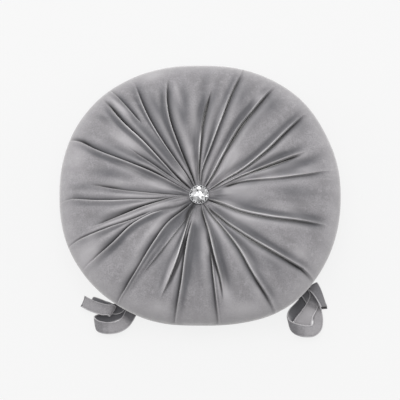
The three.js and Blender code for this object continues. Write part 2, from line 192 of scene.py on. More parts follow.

# Wide, soft hollows first, then the short pits along the creases; every hollow carries painted shade, and
# the pits also a dark painted crease shade
HOLLOWS = tuple(Hollow(*row) for row in (
    ((14, 13, 12.5, 14, 17), 0.55, 0.88, 0.0030, 0.0065),
    ((23, 23, 22, 22.5, 23), 0.58, 0.82, 0.0020, 0.005),
    ((33, 34.5, 37, 40, 42), 0.14, 0.36, 0.0030, 0.004),
    ((100, 98, 92, 88, 86), 0.35, 0.92, 0.0025, 0.007),
    ((151, 148.5, 145.5, 145, 145), 0.24, 0.48, 0.0030, 0.005),
    ((154, 154, 154, 153, 152), 0.45, 0.70, 0.0025, 0.006),
    ((173, 167, 162, 162, 163), 0.10, 0.60, 0.0035, 0.006),
    ((170, 170, 169.8, 169, 168), 0.50, 0.70, 0.0020, 0.010),
    ((224, 220, 217, 216, 217), 0.68, 0.97, 0.0020, 0.005),
    ((232, 233, 236, 237, 237), 0.45, 0.88, 0.0020, 0.003),
    ((238, 236, 236, 236, 236), 0.08, 0.36, 0.0050, 0.009),
    ((266, 265, 264.5, 264, 264), 0.30, 0.75, 0.0030, 0.008),
    ((289, 288, 287.5, 286.5, 286), 0.15, 0.80, 0.0040, 0.008),
    ((305, 306.5, 306.8, 306.5, 306), 0.30, 0.72, 0.0030, 0.005),
    ((318, 318, 319, 321, 323), 0.20, 0.58, 0.0035, 0.012),
    ((344, 345, 344, 346, 346), 0.70, 0.92, 0.0020, 0.005),
    ((358, 350, 345, 345, 345), 0.14, 0.42, 0.0050, 0.013),
    ((14, 14, 14, 14, 14), 0.22, 0.26, 0.0030, 0.0022, 1.2),
    ((19, 19, 18.8, 19.1, 19), 0.42, 0.70, 0.0020, 0.0018, 0.9),
    ((57, 57.3, 57.5, 57, 56), 0.40, 0.64, 0.0025, 0.0021, 0.95),
    ((75, 73, 72.5, 72, 71), 0.60, 0.86, 0.0015, 0.0016, 0.6),
    ((90, 89, 87, 84.6, 84), 0.44, 0.66, 0.0025, 0.0018, 0.95),
    ((91, 90, 89, 89, 89), 0.17, 0.26, 0.0020, 0.0022, 0.9),
    ((111, 113, 113, 112, 110), 0.17, 0.29, 0.0030, 0.0022, 0.8),
    ((123.3, 124, 124, 124, 124), 0.09, 0.13, 0.0020, 0.0024, 1.0),
    ((142.3, 139.5, 138, 138, 138), 0.09, 0.20, 0.0015, 0.0018, 0.9),
    ((140, 139, 138, 137, 135.4), 0.78, 0.88, 0.0020, 0.0016, 0.8),
    ((157, 156.9, 157.5, 158, 158), 0.30, 0.46, 0.0020, 0.0018, 0.7),
    ((158, 157, 157.8, 157.8, 155.9), 0.86, 0.95, 0.0010, 0.0018, 0.7),
    ((182, 182, 180.5, 178.3, 177), 0.60, 0.70, 0.0020, 0.0018, 0.6),
    ((188, 194.8, 197.6, 198.6, 199), 0.24, 0.62, 0.0020, 0.0019, 0.60),
    ((214, 206.8, 205.5, 205, 205), 0.10, 0.34, 0.0015, 0.0024, 0.55),
    ((225.5, 224.5, 224, 224, 224), 0.14, 0.22, 0.0015, 0.0020, 0.7),
    ((240.5, 250, 251, 251, 251), 0.09, 0.26, 0.0030, 0.0028, 1.0),
    ((255, 255, 255.9, 254.2, 252), 0.40, 0.70, 0.0030, 0.0022, 0.9),
    ((279.5, 281.8, 281.8, 282, 282), 0.14, 0.30, 0.0030, 0.0022, 0.9),
    ((280, 280.5, 280.8, 282, 282), 0.38, 0.62, 0.0030, 0.0022, 0.95),
    ((299, 301.5, 302, 301, 301.4), 0.80, 0.92, 0.0012, 0.0028, 0.45),
    ((304.5, 310, 312, 315, 318), 0.15, 0.26, 0.0020, 0.0022, 0.85),
    ((304.5, 310, 314.8, 318.4, 321.2), 0.84, 0.94, 0.0010, 0.0016, 0.7),
    ((335, 333, 333, 333, 333), 0.10, 0.15, 0.0020, 0.0040, 0.6),
))

# Patches of painted shade and painted light over the pad's face
PAINTED_PATCHES = tuple(PaintedPatch(*row) for row in (
    (2, 0.27, 0.012, 0.09, -0.80), (7, 0.34, 0.005, 0.09, 0.50), (9, 0.50, 0.006, 0.10, -0.70),
    (10.8, 0.77, 0.005, 0.09, -0.60), (11, 0.20, 0.008, 0.05, -0.90), (14.5, 0.70, 0.006, 0.15, 0.80),
    (19.3, 0.75, 0.004, 0.06, -0.60), (25, 0.46, 0.007, 0.12, 0.50), (33, 0.83, 0.016, 0.08, 0.50),
    (38, 0.60, 0.016, 0.12, 0.30), (44, 0.24, 0.011, 0.10, -1.20), (45, 0.34, 0.008, 0.07, -0.70),
    (51, 0.78, 0.014, 0.08, 1.00), (53, 0.61, 0.009, 0.10, 0.90), (57, 0.28, 0.007, 0.12, -0.70),
    (58.3, 0.79, 0.006, 0.05, -0.80), (60.5, 0.60, 0.006, 0.08, 0.50), (66, 0.74, 0.010, 0.11, 0.80),
    (74.5, 0.55, 0.005, 0.12, -0.50), (80.6, 0.64, 0.005, 0.17, 0.80), (90, 0.19, 0.010, 0.05, -0.70),
    (93.7, 0.50, 0.006, 0.12, -0.70), (98.5, 0.68, 0.006, 0.14, 0.90), (102.3, 0.76, 0.003, 0.07, -0.50),
    (102.5, 0.54, 0.007, 0.09, 0.80), (103, 0.32, 0.007, 0.08, -0.50), (105.5, 0.66, 0.005, 0.10, 0.80),
    (111, 0.92, 0.016, 0.05, -0.70), (115, 0.19, 0.010, 0.06, -0.60), (117.5, 0.67, 0.007, 0.12, 1.10),
    (120, 0.87, 0.007, 0.06, 0.35), (122.5, 0.50, 0.006, 0.18, 0.45), (129.6, 0.81, 0.005, 0.10, 0.60),
    (131.5, 0.31, 0.010, 0.11, 0.60), (132.6, 0.81, 0.0035, 0.09, -1.20), (133, 0.16, 0.006, 0.05, -0.80),
    (133.5, 0.52, 0.009, 0.18, 1.10), (142, 0.84, 0.005, 0.06, 0.70), (146, 0.61, 0.008, 0.12, -1.00),
    (154.4, 0.63, 0.006, 0.13, 0.70), (163.5, 0.50, 0.008, 0.09, -0.60), (165, 0.88, 0.022, 0.06, -0.60),
    (169.8, 0.29, 0.007, 0.10, -1.00), (171, 0.66, 0.008, 0.09, 0.60), (178, 0.61, 0.005, 0.10, -0.70),
    (178.5, 0.80, 0.006, 0.10, 0.60), (182.2, 0.23, 0.004, 0.06, 0.50), (187, 0.44, 0.011, 0.16, -0.50),
    (195.6, 0.71, 0.006, 0.10, 0.30), (199.5, 0.32, 0.007, 0.10, -1.00), (201, 0.48, 0.004, 0.10, -0.60),
    (201.5, 0.62, 0.007, 0.12, -1.10), (204.5, 0.84, 0.006, 0.06, -0.50), (209.5, 0.31, 0.010, 0.09, 0.80),
    (211.4, 0.62, 0.005, 0.14, 0.45), (211.5, 0.89, 0.014, 0.08, -1.10), (223.7, 0.41, 0.006, 0.08, -0.60),
    (231.5, 0.72, 0.005, 0.10, -0.60), (236, 0.24, 0.009, 0.09, 0.90), (238.5, 0.37, 0.008, 0.11, 0.95),
    (241.5, 0.42, 0.004, 0.11, -0.70), (245, 0.62, 0.008, 0.14, 0.60), (251.2, 0.66, 0.004, 0.14, -1.20),
    (251.8, 0.92, 0.014, 0.05, -0.60), (256, 0.70, 0.006, 0.10, 0.50), (267.5, 0.34, 0.010, 0.10, 0.50),
    (270, 0.52, 0.007, 0.22, 0.75), (274.5, 0.40, 0.005, 0.12, -0.50), (282.2, 0.24, 0.006, 0.07, 0.85),
    (282.4, 0.57, 0.005, 0.10, 0.50), (284, 0.80, 0.008, 0.10, -0.95), (288.5, 0.27, 0.008, 0.11, 0.90),
    (290.8, 0.93, 0.018, 0.05, -0.60), (296, 0.27, 0.008, 0.12, -0.60), (296, 0.67, 0.006, 0.08, 0.30),
    (299.5, 0.85, 0.008, 0.06, -0.50), (303.7, 0.60, 0.006, 0.12, -0.45), (310.5, 0.41, 0.008, 0.15, 0.85),
    (313.6, 0.73, 0.013, 0.10, 0.70), (319, 0.31, 0.011, 0.12, 0.80), (326, 0.36, 0.008, 0.14, -0.70),
    (327, 0.83, 0.010, 0.06, -0.70), (338, 0.20, 0.006, 0.08, -0.60), (342, 0.80, 0.009, 0.08, 0.40),
    (346, 0.65, 0.006, 0.10, -0.40), (348.5, 0.24, 0.012, 0.08, 1.10), (354, 0.36, 0.008, 0.07, -0.60),
    (357.5, 0.66, 0.012, 0.14, 0.75),
))

# The ties' routes, each row a Station, the same points as the solids follow
TIES = {
    "tie_left_upper": (
        (-0.1097, -0.1487, 0.0064, 148), (-0.1138, -0.1546, 0.0060, 133),
        (-0.1191, -0.1562, 0.0058, 112), (-0.1265, -0.1548, 0.0057, 90),
        (-0.1344, -0.1526, 0.0056, 78), (-0.1425, -0.1500, 0.0056, 74),
        (-0.1493, -0.1483, 0.0056, 74), (-0.1512, -0.1478, 0.0065, 74),
        (-0.1520, -0.1476, 0.0085, 73), (-0.1512, -0.1478, 0.0105, 72),
        (-0.1493, -0.1483, 0.0114, 71), (-0.1402, -0.1517, 0.0114, 67),
        (-0.1302, -0.1563, 0.0113, 60), (-0.1245, -0.1604, 0.0113, 59),
        (-0.1226, -0.1615, 0.0122, 59), (-0.1218, -0.1620, 0.0144, 60),
        (-0.1226, -0.1615, 0.0166, 61), (-0.1245, -0.1604, 0.0175, 62),
        (-0.1323, -0.1602, 0.0172, 65), (-0.1443, -0.1569, 0.0160, 68),
        (-0.1549, -0.1519, 0.0130, 69), (-0.1650, -0.1452, 0.0080, 70),
    ),
    "tie_left_lower": (
        (-0.1018, -0.1491, 0.0028, 150), (-0.1078, -0.1568, 0.0023, 138),
        (-0.1152, -0.1626, 0.0020, 122), (-0.1245, -0.1664, 0.0020, 112),
        (-0.1344, -0.1692, 0.0022, 108), (-0.1418, -0.1724, 0.0042, 105, 8),
        (-0.1463, -0.1762, 0.0084, 99, 22), (-0.1426, -0.1824, 0.0126, 93, 18),
        (-0.1330, -0.1856, 0.0138, 90, 10), (-0.1217, -0.1855, 0.0130, 92, 4),
        (-0.1121, -0.1827, 0.0114, 104), (-0.1047, -0.1771, 0.0096, 122),
        (-0.0999, -0.1696, 0.0080, 138), (-0.0952, -0.1602, 0.0074, 147),
    ),
    "tie_right_upper": (
        (0.1450, -0.1870, 0.0032, 343, 0, 1.60), (0.1468, -0.1770, 0.0074, 338, 2, 1.54),
        (0.1526, -0.1650, 0.0112, 334, 12, 1.15), (0.1600, -0.1525, 0.0104, 336),
        (0.1644, -0.1420, 0.0106, 346), (0.1646, -0.1336, 0.0112, 10),
        (0.1615, -0.1266, 0.0114, 30), (0.1604, -0.1250, 0.0123, 33),
        (0.1600, -0.1243, 0.0143, 33), (0.1604, -0.1250, 0.0163, 33),
        (0.1615, -0.1266, 0.0172, 33), (0.1662, -0.1342, 0.0192, 31, -30),
        (0.1704, -0.1426, 0.0190, 28, -45), (0.1738, -0.1503, 0.0165, 25, -52),
        (0.1769, -0.1580, 0.0125, 22, -52),
    ),
    "tie_right_lower": (
        (0.1436, -0.1268, 0.0036, 218), (0.1486, -0.1352, 0.0030, 198),
        (0.1494, -0.1429, 0.0026, 168), (0.1450, -0.1498, 0.0024, 143),
        (0.1387, -0.1566, 0.0026, 133), (0.1327, -0.1633, 0.0046, 127, 14),
        (0.1282, -0.1699, 0.0080, 118, 34), (0.1265, -0.1762, 0.0116, 108, 44),
        (0.1299, -0.1833, 0.0142, 97, 36), (0.1387, -0.1885, 0.0154, 88, 22),
        (0.1500, -0.1908, 0.0150, 84, 10), (0.1606, -0.1894, 0.0134, 100, 4),
        (0.1666, -0.1823, 0.0098, 130), (0.1674, -0.1726, 0.0070, 160),
        (0.1660, -0.1625, 0.0062, 183), (0.1631, -0.1528, 0.0064, 197),
        (0.1589, -0.1441, 0.0068, 207), (0.1537, -0.1354, 0.0078, 214),
        (0.1487, -0.1288, 0.0082, 218),
    ),
}
OPEN_ENDED_TIES = ("tie_left_upper", "tie_right_upper")
# Painted shade on the ties' faces that lie in shade, such as inner faces and where they run under the pad,
# and painted light on their lit stretches
TIE_SHADING = {
    "tie_left_upper": (
        ShadingStretch(0.00, 0.36, -1, 0.90),
        ShadingStretch(0.36, 0.64, 1, 0.90),
        ShadingStretch(0.66, 1.00, -1, -0.25),
    ),
    "tie_left_lower": (
        ShadingStretch(0.00, 0.45, -1, 1.00),
        ShadingStretch(0.46, 0.58, 1, 0.35),
        ShadingStretch(0.64, 0.86, 1, -0.50),
        ShadingStretch(0.90, 1.00, 1, 0.80),
    ),
    "tie_right_upper": (
        ShadingStretch(0.00, 0.32, -1, -1.00),
        ShadingStretch(0.40, 0.62, -1, 0.60),
        ShadingStretch(0.64, 1.00, 1, 0.70),
    ),
    "tie_right_lower": (
        ShadingStretch(0.00, 0.31, -1, 1.00),
        ShadingStretch(0.33, 0.47, 1, 0.45),
        ShadingStretch(0.53, 0.88, 1, -0.50),
        ShadingStretch(0.91, 1.00, 1, 0.80),
    ),
}

# How the cloth lies beside a fold: metres from the fold's edge, and shares of the fold's depth
CREASE_REACH = 0.0036
SWELL_AT, SWELL_WIDTH, SWELL_SHARE = 0.0105, 0.0050, 0.30
RIDGE_REACH, RIDGE_SHARE = 0.0024, 0.45
TROUGH_AT, TROUGH_WIDTH, TROUGH_SHARE = 0.0060, 0.0040, 0.40

# The room between two folds from which they are fully wide and fully deep
FULL_GORE, STEEP_GORE = 0.026, 0.016

# How the cloth puffs up between two folds: a share of the room, and the most
PUFF, MOST_PUFF = 0.045, 0.0022

# Where folds fade: before and after their start, round their end, above the widest line, off the seat
FADE_BEFORE, FADE_AFTER, FADE_OUT = 0.08, 0.02, 0.10
FOLDS_ABOVE_WIDEST, FOLDS_OFF_SEAT = 0.012, 0.02

# The painted shade and highlights beside a fold of full depth: where they lie, how wide, how strong, and
# where they are lost
FULL_DEPTH = 0.005
CREASE_AT, CREASE_WIDTH, NARROW_CREASE = 0.0015, 0.0021, 2.5
SHADE, SHADE_REACH = 1.2, 0.0072
RIDGE_WIDTH, RIDGE_FADE, RIDGE_LOST = 0.0013, 0.35, 0.8

# What changes from the button, at 0, to the rim, at 1
FOLD_STRENGTH = Ramp(0.55, 1.0, 1.0, 0.45)
FOLD_STEP = Ramp(0.55, 1.0, 0.0006, 0.0018)
# Painted light on the swells before the creases
SWELL_LIGHT = Ramp(0.55, 1.0, 0.40, 0.16)
HOLLOW_STRENGTH = Ramp(0.08, 0.40, 0.35, 1.0)
# How wide the painted crease shade spreads, how strong the painted ridge highlights are, and the painted
# light round the rim that stands in for the velvet's sheen
CREASE_SPREAD = Ramp(0.15, 0.60, 0.55, 0.70)
RIDGE_HIGHLIGHT = Ramp(0.15, 0.40, 0.6, 1.0)
RIM_LIGHT = Ramp(0.86, 0.98, 0.0, 0.5)

# What grows with the room between two folds, as a share of FULL_GORE
FULLNESS = Ramp(0.12, 0.5, 0.0, 1.0)

# The pad's mesh: degrees to a column, the fewest columns between two folds, the columns on a fold's
# step, the most of the room that half a step takes, and the rows of the section's three parts
COLUMN_DEGREES, LEAST_COLUMNS, STEP_COLUMNS, MOST_STEP = 0.75, 6, 3, 0.2
UNDER_ROWS, SHOULDER_ROWS, FUNNEL_ROWS = 18, 44, 48

# Small unevenness: ripples round the button by count, phase and share of the height, and waves over
# the cloth by how fast they run along X and Y and by phase
RIPPLES = ((31, 0.7, 1.0), (47, 2.1, 0.7))
RIPPLE_HEIGHT, RIPPLES_FULL, RIPPLE_FADE = 0.0005, 0.11, Ramp(0.14, 0.26, 1.0, 0.0)
WAVES = ((61, 23, 0.4), (-38, 47, 1.9), (83, 71, 2.6))
WAVE_HEIGHT, WAVE_STRENGTH, WAVES_ABOVE = 0.00035, Ramp(0.1, 0.3, 0.0, 1.0), 0.02

# The seam below the widest line: half its width, its depth as a share of the radius, and the painted shade
# in its groove
SEAM_WIDTH, SEAM_DEPTH, SEAM_GROOVE_SHADE = 0.0022, 0.012, 0.9
# Painted shade beside the seam: half its width, and how strong it is
SEAM_SHADE_WIDTH, SEAM_SHADE = 0.006, 0.3

# The painted light and shade that the velvet's material reads at each point, and how far its streaks are
# drawn outwards
MARKS = ("ridge", "crease", "shade", "light")
STREAK_STRETCH = 0.35

# Layers of noise over the velvet's first tint: what the noise lies on, its scale, the range of it that
# is used, how much of the layer shows at both ends of that range, and the layer's tint
PILE_TINT = 0.88
PILE_LAYERS = (
    ("place", 34, (0.3, 0.7), (0, 1), 1.12),
    ("streak", 9, (0.45, 0.75), (0, 0.55), 0.6),
    ("place", 130, (0.5, 0.8), (0, 0.6), 1.35),
    ("place", 520, (0.3, 0.6), (0.45, 0), 0.55),
)

# The crystal's painted facet reflections, dark and bright, and its cloudy glass
DARK_REFLECTION = (0.02, 0.02, 0.022, 1.0)
BRIGHT_REFLECTION = (0.82, 0.82, 0.83, 1.0)
CLOUDY_GLASS = (0.6, 0.61, 0.62, 1.0)

# The nodes that the beads' geometry runs through, each from its first output to the next one's first input
BEAD_CHAIN = (
    "NodeGroupInput",
    "GeometryNodeMeshToCurve",
    "GeometryNodeResampleCurve",
    "GeometryNodeInstanceOnPoints",
    "GeometryNodeRealizeInstances",
    "GeometryNodeSetShadeSmooth",
    "GeometryNodeSetMaterial",
    "NodeGroupOutput",
)

# The button: the crystal's rings by share of radius, share of rise, points and turn in steps, and the
# setting's foot by how far in and up it lies, in shares of the lip
FACETS = 8
CRYSTAL_RINGS = ((1.00, 0.00, 2 * FACETS, 0.0), (0.70, 0.55, FACETS, 0.5), (0.36, 0.90, FACETS, 0.0))
CRYSTAL_FOOT = 0.94
# How bright the painted reflection on a facet may be, and the seed that picks one for each facet
FACET_LIGHTS = (0.12, 0.3, 0.55, 0.85, 1.0)
FACET_SEED = 506
CRYSTAL_GAP = 0.0003
LIP_POINTS, SETTING_COLUMNS = 9, 72
SETTING_FOOT = ((0.6, 0.0), (0.15, 0.25), (0.0, 0.8))
CLAWS_OUT, CLAWS_DOWN, POINTS_PER_CLAW = 0.0004, 0.0001, 8

# The ties: rings from one station to the next and points round a ring, the flattened tube's section,
# the groove of its stitches, how high they lie as a share of the thickness, and the rings that have them
TIE_STEPS, TIE_COLUMNS = 12, 44
SIDE_POWER, FACE_POWER = 0.55, 0.7
GROOVE_WIDTH, GROOVE_DEPTH = 0.0007, 0.3
STITCH_HEIGHT, STITCHED = 0.40, slice(6, -8)

# The sway of a tie's two edges by side, reach and phase, and where it sets in and ends
SWAYS = ((1, 0.0085, 1.0), (-1, 0.0062, 2.4))
SWAY_HEIGHT, SWAY_PHASE = 0.00035, 1.7
SWAY_IN, SWAY_OUT = Ramp(0.03, 0.2, 0.0, 1.0), Ramp(0.85, 1.0, 1.0, 0.0)

# A tie's open end: how it gapes, how its upper layer lies back, its cloth, and the tube's inside with its
# painted shade
GAPE, GAPE_REACH = 0.9, 0.016
LIP, LIP_REACH, LIP_TURN = 0.0035, 0.009, 2
CLOTH, LEAST_OPENING = 0.0008, 0.0002
MOUTH_DEPTHS, TUBE_DEPTHS, TUBE_SHADE = (0.0, 0.0012), (0.006, 0.013), 0.95

# A tie's edges, with a painted highlight and less painted shade, and how softly its painted shade and
# light begin, end and turn round the edge
TIE_EDGE = Ramp(0.82, 0.96, 0.0, 1.0)
EDGE_HIGHLIGHT, EDGE_LESS_SHADE = 0.5, 0.7
TONE_FADE, TONE_TURN = 0.02, 3

# The stage
FLOOR_REACH = 30.0
WORLD_LIGHT = 0.4
SENSOR_WIDTH = 36.0
SOFTBOXES = (
    ("overhead_softbox", (-0.1, 0.1, 2.4), 2.4, 38),
    ("top_softbox", (-0.2, 1.6, 0.8), 1.0, 9),
    ("left_softbox", (-1.7, 0.2, 0.8), 1.0, 10),
    ("right_softbox", (1.7, 0.2, 0.8), 1.0, 10),
)


# Sizes and colours that a user would change

class PadSizes(bpy.types.PropertyGroup):
    """The pad's outline, its section and how its folds fall."""

    half_width: bpy.props.FloatProperty(
        name="Half width", description="From the middle to the side edge", default=0.200, unit="LENGTH")
    half_depth: bpy.props.FloatProperty(
        name="Half depth", description="From the middle to the far edge", default=0.192, unit="LENGTH")
    outline_power: bpy.props.FloatProperty(
        name="Squareness", description="2 is an oval, more is squarer", default=2.2)
    shift: bpy.props.FloatVectorProperty(
        name="Shift", description="How far the outline lies off the button's axis",
        size=2, default=(0.0015, 0.0038), unit="LENGTH")
    crown_height: bpy.props.FloatProperty(
        name="Crown height", description="Height of the fullest ring", default=0.080, unit="LENGTH")
    crown_share: bpy.props.FloatProperty(
        name="Crown place", description="Where the fullest ring lies, from middle to edge",
        default=0.58, subtype="FACTOR")
    seat_height: bpy.props.FloatProperty(
        name="Seat height", description="Height of the cloth under the button",
        default=0.046, unit="LENGTH")
    seat_share: bpy.props.FloatProperty(
        name="Seat size", description="Size of the flat under the button", default=0.08, subtype="FACTOR")
    widest_height: bpy.props.FloatProperty(
        name="Widest height", description="Height of the widest line", default=0.036, unit="LENGTH")
    base_share: bpy.props.FloatProperty(
        name="Base size", description="Size of the resting face", default=0.87, subtype="FACTOR")
    funnel_power: bpy.props.FloatProperty(
        name="Funnel shape", description="Less than 1 falls steeply to the button", default=0.95)
    shoulder_power: bpy.props.FloatProperty(
        name="Shoulder shape", description="2 is round, more is fuller", default=2.3)
    fold_depth: bpy.props.FloatProperty(
        name="Fold depth", description="1 is as deep as the table of folds", default=1.25)
    seam_height: bpy.props.FloatProperty(
        name="Seam height", description="Height of the seam that closes the back",
        default=0.027, unit="LENGTH")


class ButtonSizes(bpy.types.PropertyGroup):
    """The crystal and the metal that holds it."""

    claw_count: bpy.props.IntProperty(
        name="Claws", description="Small claws round the crystal", default=22, min=6)
    claw_radius: bpy.props.FloatProperty(
        name="Claw size", description="Half the width of a claw", default=0.0010, unit="LENGTH")
    crystal_rise: bpy.props.FloatProperty(
        name="Crystal rise", description="How far the crystal's top stands over the girdle",
        default=0.0036, unit="LENGTH")


class TieSizes(bpy.types.PropertyGroup):
    """The ribbon ties."""

    width: bpy.props.FloatProperty(
        name="Width", description="Finished width of a tie", default=0.017, unit="LENGTH")
    thickness: bpy.props.FloatProperty(
        name="Thickness", description="Both layers together", default=0.0026, unit="LENGTH")
    edge_stitch: bpy.props.FloatProperty(
        name="Edge stitch", description="From the edge to the row of stitches",
        default=0.0022, unit="LENGTH")
    stitch_pitch: bpy.props.FloatProperty(
        name="Stitch pitch", description="From one stitch to the next", default=0.0030, unit="LENGTH")
    stitch_length: bpy.props.FloatProperty(
        name="Stitch length", description="Length of one stitch", default=0.0022, unit="LENGTH")
    thread: bpy.props.FloatProperty(
        name="Thread", description="Thickness of the thread", default=0.0004, unit="LENGTH")


class FinishColours(bpy.types.PropertyGroup):
    """Colours of the cloth, its painted shade and light, the thread and the button."""

    velvet: bpy.props.FloatVectorProperty(
        name="Velvet", description="Grey of the pile", subtype="COLOR", default=(0.290, 0.281, 0.293))
    # Painted shade in the creases and beside them, painted light, and painted highlights along the folds'
    # edges
    velvet_crease_shade: bpy.props.FloatVectorProperty(
        name="Creases", description="Grey deep in the folds",
        subtype="COLOR", default=(0.026, 0.025, 0.026))
    velvet_shade: bpy.props.FloatVectorProperty(
        name="Shaded pile", description="Grey beside the creases",
        subtype="COLOR", default=(0.097, 0.098, 0.107))
    velvet_light: bpy.props.FloatVectorProperty(
        name="Lit pile", description="Grey beside the folds' edges",
        subtype="COLOR", default=(0.47, 0.455, 0.470))
    velvet_ridge_highlight: bpy.props.FloatVectorProperty(
        name="Ridges", description="Grey along the folds' edges",
        subtype="COLOR", default=(0.76, 0.745, 0.76))
    thread: bpy.props.FloatVectorProperty(
        name="Thread", description="Sewing thread", subtype="COLOR", default=(0.22, 0.22, 0.225))
    metal: bpy.props.FloatVectorProperty(
        name="Setting", description="Metal round the crystal", subtype="COLOR", default=(0.30, 0.30, 0.31))
    claws: bpy.props.FloatVectorProperty(
        name="Claws", description="Polished claws that hold the crystal",
        subtype="COLOR", default=(0.88, 0.88, 0.89))


class StageSettings(bpy.types.PropertyGroup):
    """The floor, the light and the camera."""

    elevation: bpy.props.FloatProperty(
        name="Camera height", description="Camera's angle above the floor",
        default=math.radians(74), subtype="ANGLE")
    lens: bpy.props.FloatProperty(
        name="Lens", description="Focal length on a 36 mm sensor, in millimetres", default=200.0)
    view_width: bpy.props.FloatProperty(
        name="View width", description="Width of the view at the pad", default=0.566, unit="LENGTH")
    aim: bpy.props.FloatVectorProperty(
        name="Aim", description="Point at the middle of the picture",
        default=(0.0014, -0.0084, 0.0496), subtype="TRANSLATION", unit="LENGTH")
    floor: bpy.props.FloatVectorProperty(
        name="Floor", description="Floor's colour", subtype="COLOR", default=(0.08, 0.08, 0.08))


class ChairPadSettings(bpy.types.PropertyGroup):
    """All the settings of the chair pad."""

    pad: bpy.props.PointerProperty(type=PadSizes)
    button: bpy.props.PointerProperty(type=ButtonSizes)
    tie: bpy.props.PointerProperty(type=TieSizes)
    finish: bpy.props.PointerProperty(type=FinishColours)
    stage: bpy.props.PointerProperty(type=StageSettings)


# Small helpers

def smoothstep(value, low, high):
    """0 below low, 1 above high, and smooth between."""
    t = np.clip((value - low) / (high - low), 0.0, 1.0)
    return t * t * (3 - 2 * t)


def turn_between(angle, target):
    """The turn in degrees from a target to an angle, from -180 to 180."""
    return (angle - target + 180) % 360 - 180


def bump(value, middle, width):
    """A smooth bump, 1 at its middle."""
    return np.exp(-((value - middle) / width) ** 2)


def unit_rows(rows):
    """Each row of an array as a direction of length 1."""
    rows = np.asarray(rows, dtype=float)
    return rows / np.linalg.norm(rows, axis=1, keepdims=True)


def tint(colour, factor=1.0):
    """A colour, made darker or lighter by a factor, with its alpha."""
    return (*(factor * c for c in colour), 1.0)


def add_object(name, data):
    """A new object at the origin, in the scene."""
    made = bpy.data.objects.new(name, data)
    bpy.context.scene.collection.objects.link(made)
    return made


def mesh_object(name, vertices, faces):
    """A new smooth mesh object, from points and faces."""
    mesh = bpy.data.meshes.new(name)
    mesh.from_pydata([tuple(v) for v in vertices], [], faces)
    mesh.polygons.foreach_set("use_smooth", [True] * len(mesh.polygons))
    mesh.update()
    return add_object(name, mesh)


def add_attribute(piece, name, values, domain="POINT"):
    """A number for each point or face of a piece, for its material to read."""
    layer = piece.data.attributes.new(name, "FLOAT", domain)
    layer.data.foreach_set("value", np.asarray(values, dtype=np.float32).ravel())


def band_faces(first, second, count):
    """Quads between two rings of points."""
    ahead = [(c + 1) % count for c in range(count)]
    return [(first + c, first + d, second + d, second + c) for c, d in enumerate(ahead)]


def grid_faces(rows, columns, start=0):
    """Quads between rings of points that follow one another."""
    faces = []
    for r in range(rows - 1):
        faces += band_faces(start + r * columns, start + (r + 1) * columns, columns)
    return faces


def cap_faces(tip, first, count, forward):
    """Triangles from a ring of points to a tip, round the ring forward or backward."""
    ahead = [(c + 1) % count for c in range(count)]
    if forward:
        return [(tip, first + c, first + d) for c, d in enumerate(ahead)]
    return [(tip, first + d, first + c) for c, d in enumerate(ahead)]


# The pad's form

def along_fold(angles, shares):
    """A smooth curve through the angles at FOLD_SHARES, held level past both ends."""
    angles = np.asarray(angles, dtype=float)
    last = len(FOLD_SHARES) - 1
    i = np.arange(last + 1)
    before = np.maximum(i - 1, 0)
    after = np.minimum(i + 1, last)
    slopes = (angles[after] - angles[before]) / (FOLD_SHARES[after] - FOLD_SHARES[before])
    place = np.clip(shares, FOLD_SHARES[0], FOLD_SHARES[last])
    k = np.clip(np.searchsorted(FOLD_SHARES, place, side="right") - 1, 0, last - 1)
    width = FOLD_SHARES[k + 1] - FOLD_SHARES[k]
    u = (place - FOLD_SHARES[k]) / width
    rise = u * u * (3 - 2 * u)
    bend = slopes[k] * u * (1 - u) ** 2 - slopes[k + 1] * u * u * (1 - u)
    return angles[k] + (angles[k + 1] - angles[k]) * rise + width * bend


def outline_radius(pad, angle):
    """Distance from the button's axis to the outline, towards angles in degrees."""
    x = np.cos(np.radians(angle))
    y = np.sin(np.radians(angle))
    power = pad.outline_power
    oval = np.abs(x / pad.half_width) ** power + np.abs(y / pad.half_depth) ** power
    radius = oval ** (-1 / power) + pad.shift[0] * x + pad.shift[1] * y
    for swell in OUTLINE_SWELLS:
        radius = radius + swell.out * bump(turn_between(angle, swell.at), 0, swell.spread)
    return radius


def section_points(pad):
    """The section's shares and heights, from the base's edge round the rim to the seat."""
    turn = np.linspace(np.pi / 2, 0, UNDER_ROWS, endpoint=False)
    shares = [1 - (1 - pad.base_share) * (1 - np.cos(turn))]
    heights = [pad.widest_height * (1 - np.sin(turn))]
    turn = np.linspace(np.pi / 2, 0, SHOULDER_ROWS, endpoint=False)
    power = 2 / pad.shoulder_power
    rise = pad.crown_height - pad.widest_height
    shares.append(pad.crown_share + (1 - pad.crown_share) * np.sin(turn) ** power)
    heights.append(pad.widest_height + rise * np.cos(turn) ** power)
    up = np.linspace(1, 0, FUNNEL_ROWS)
    drop = pad.crown_height - pad.seat_height
    shares.append(pad.seat_share + (pad.crown_share - pad.seat_share) * up)
    heights.append(pad.seat_height + drop * np.sin(np.pi / 2 * up) ** pad.funnel_power)
    return np.concatenate(shares), np.concatenate(heights)


def section_normals(pad, shares, heights):
    """How far the direction square to the section points out and up at each ring."""
    tangent_out = np.gradient(shares * pad.half_width)
    tangent_up = np.gradient(heights)
    length = np.hypot(tangent_out, tangent_up)
    return tangent_up / length, -tangent_out / length


def folded_share(pad, shares, heights):
    """How much of the folds each ring has: none on the seat, and none from the widest line down."""
    above_widest = smoothstep(heights, pad.widest_height, pad.widest_height + FOLDS_ABOVE_WIDEST)
    off_seat = smoothstep(shares, pad.seat_share, pad.seat_share + FOLDS_OFF_SEAT)
    folded = np.where(shares < pad.crown_share, off_seat, above_widest)
    folded[:np.argmax(shares)] = 0
    return folded


def presence(crease, shares):
    """How much of a fold or hollow is there at each share of the radius."""
    begins = smoothstep(shares, crease.start - FADE_BEFORE, crease.start + FADE_AFTER)
    ends = smoothstep(shares, crease.end - FADE_OUT, crease.end + FADE_OUT)
    return begins * (1 - ends)


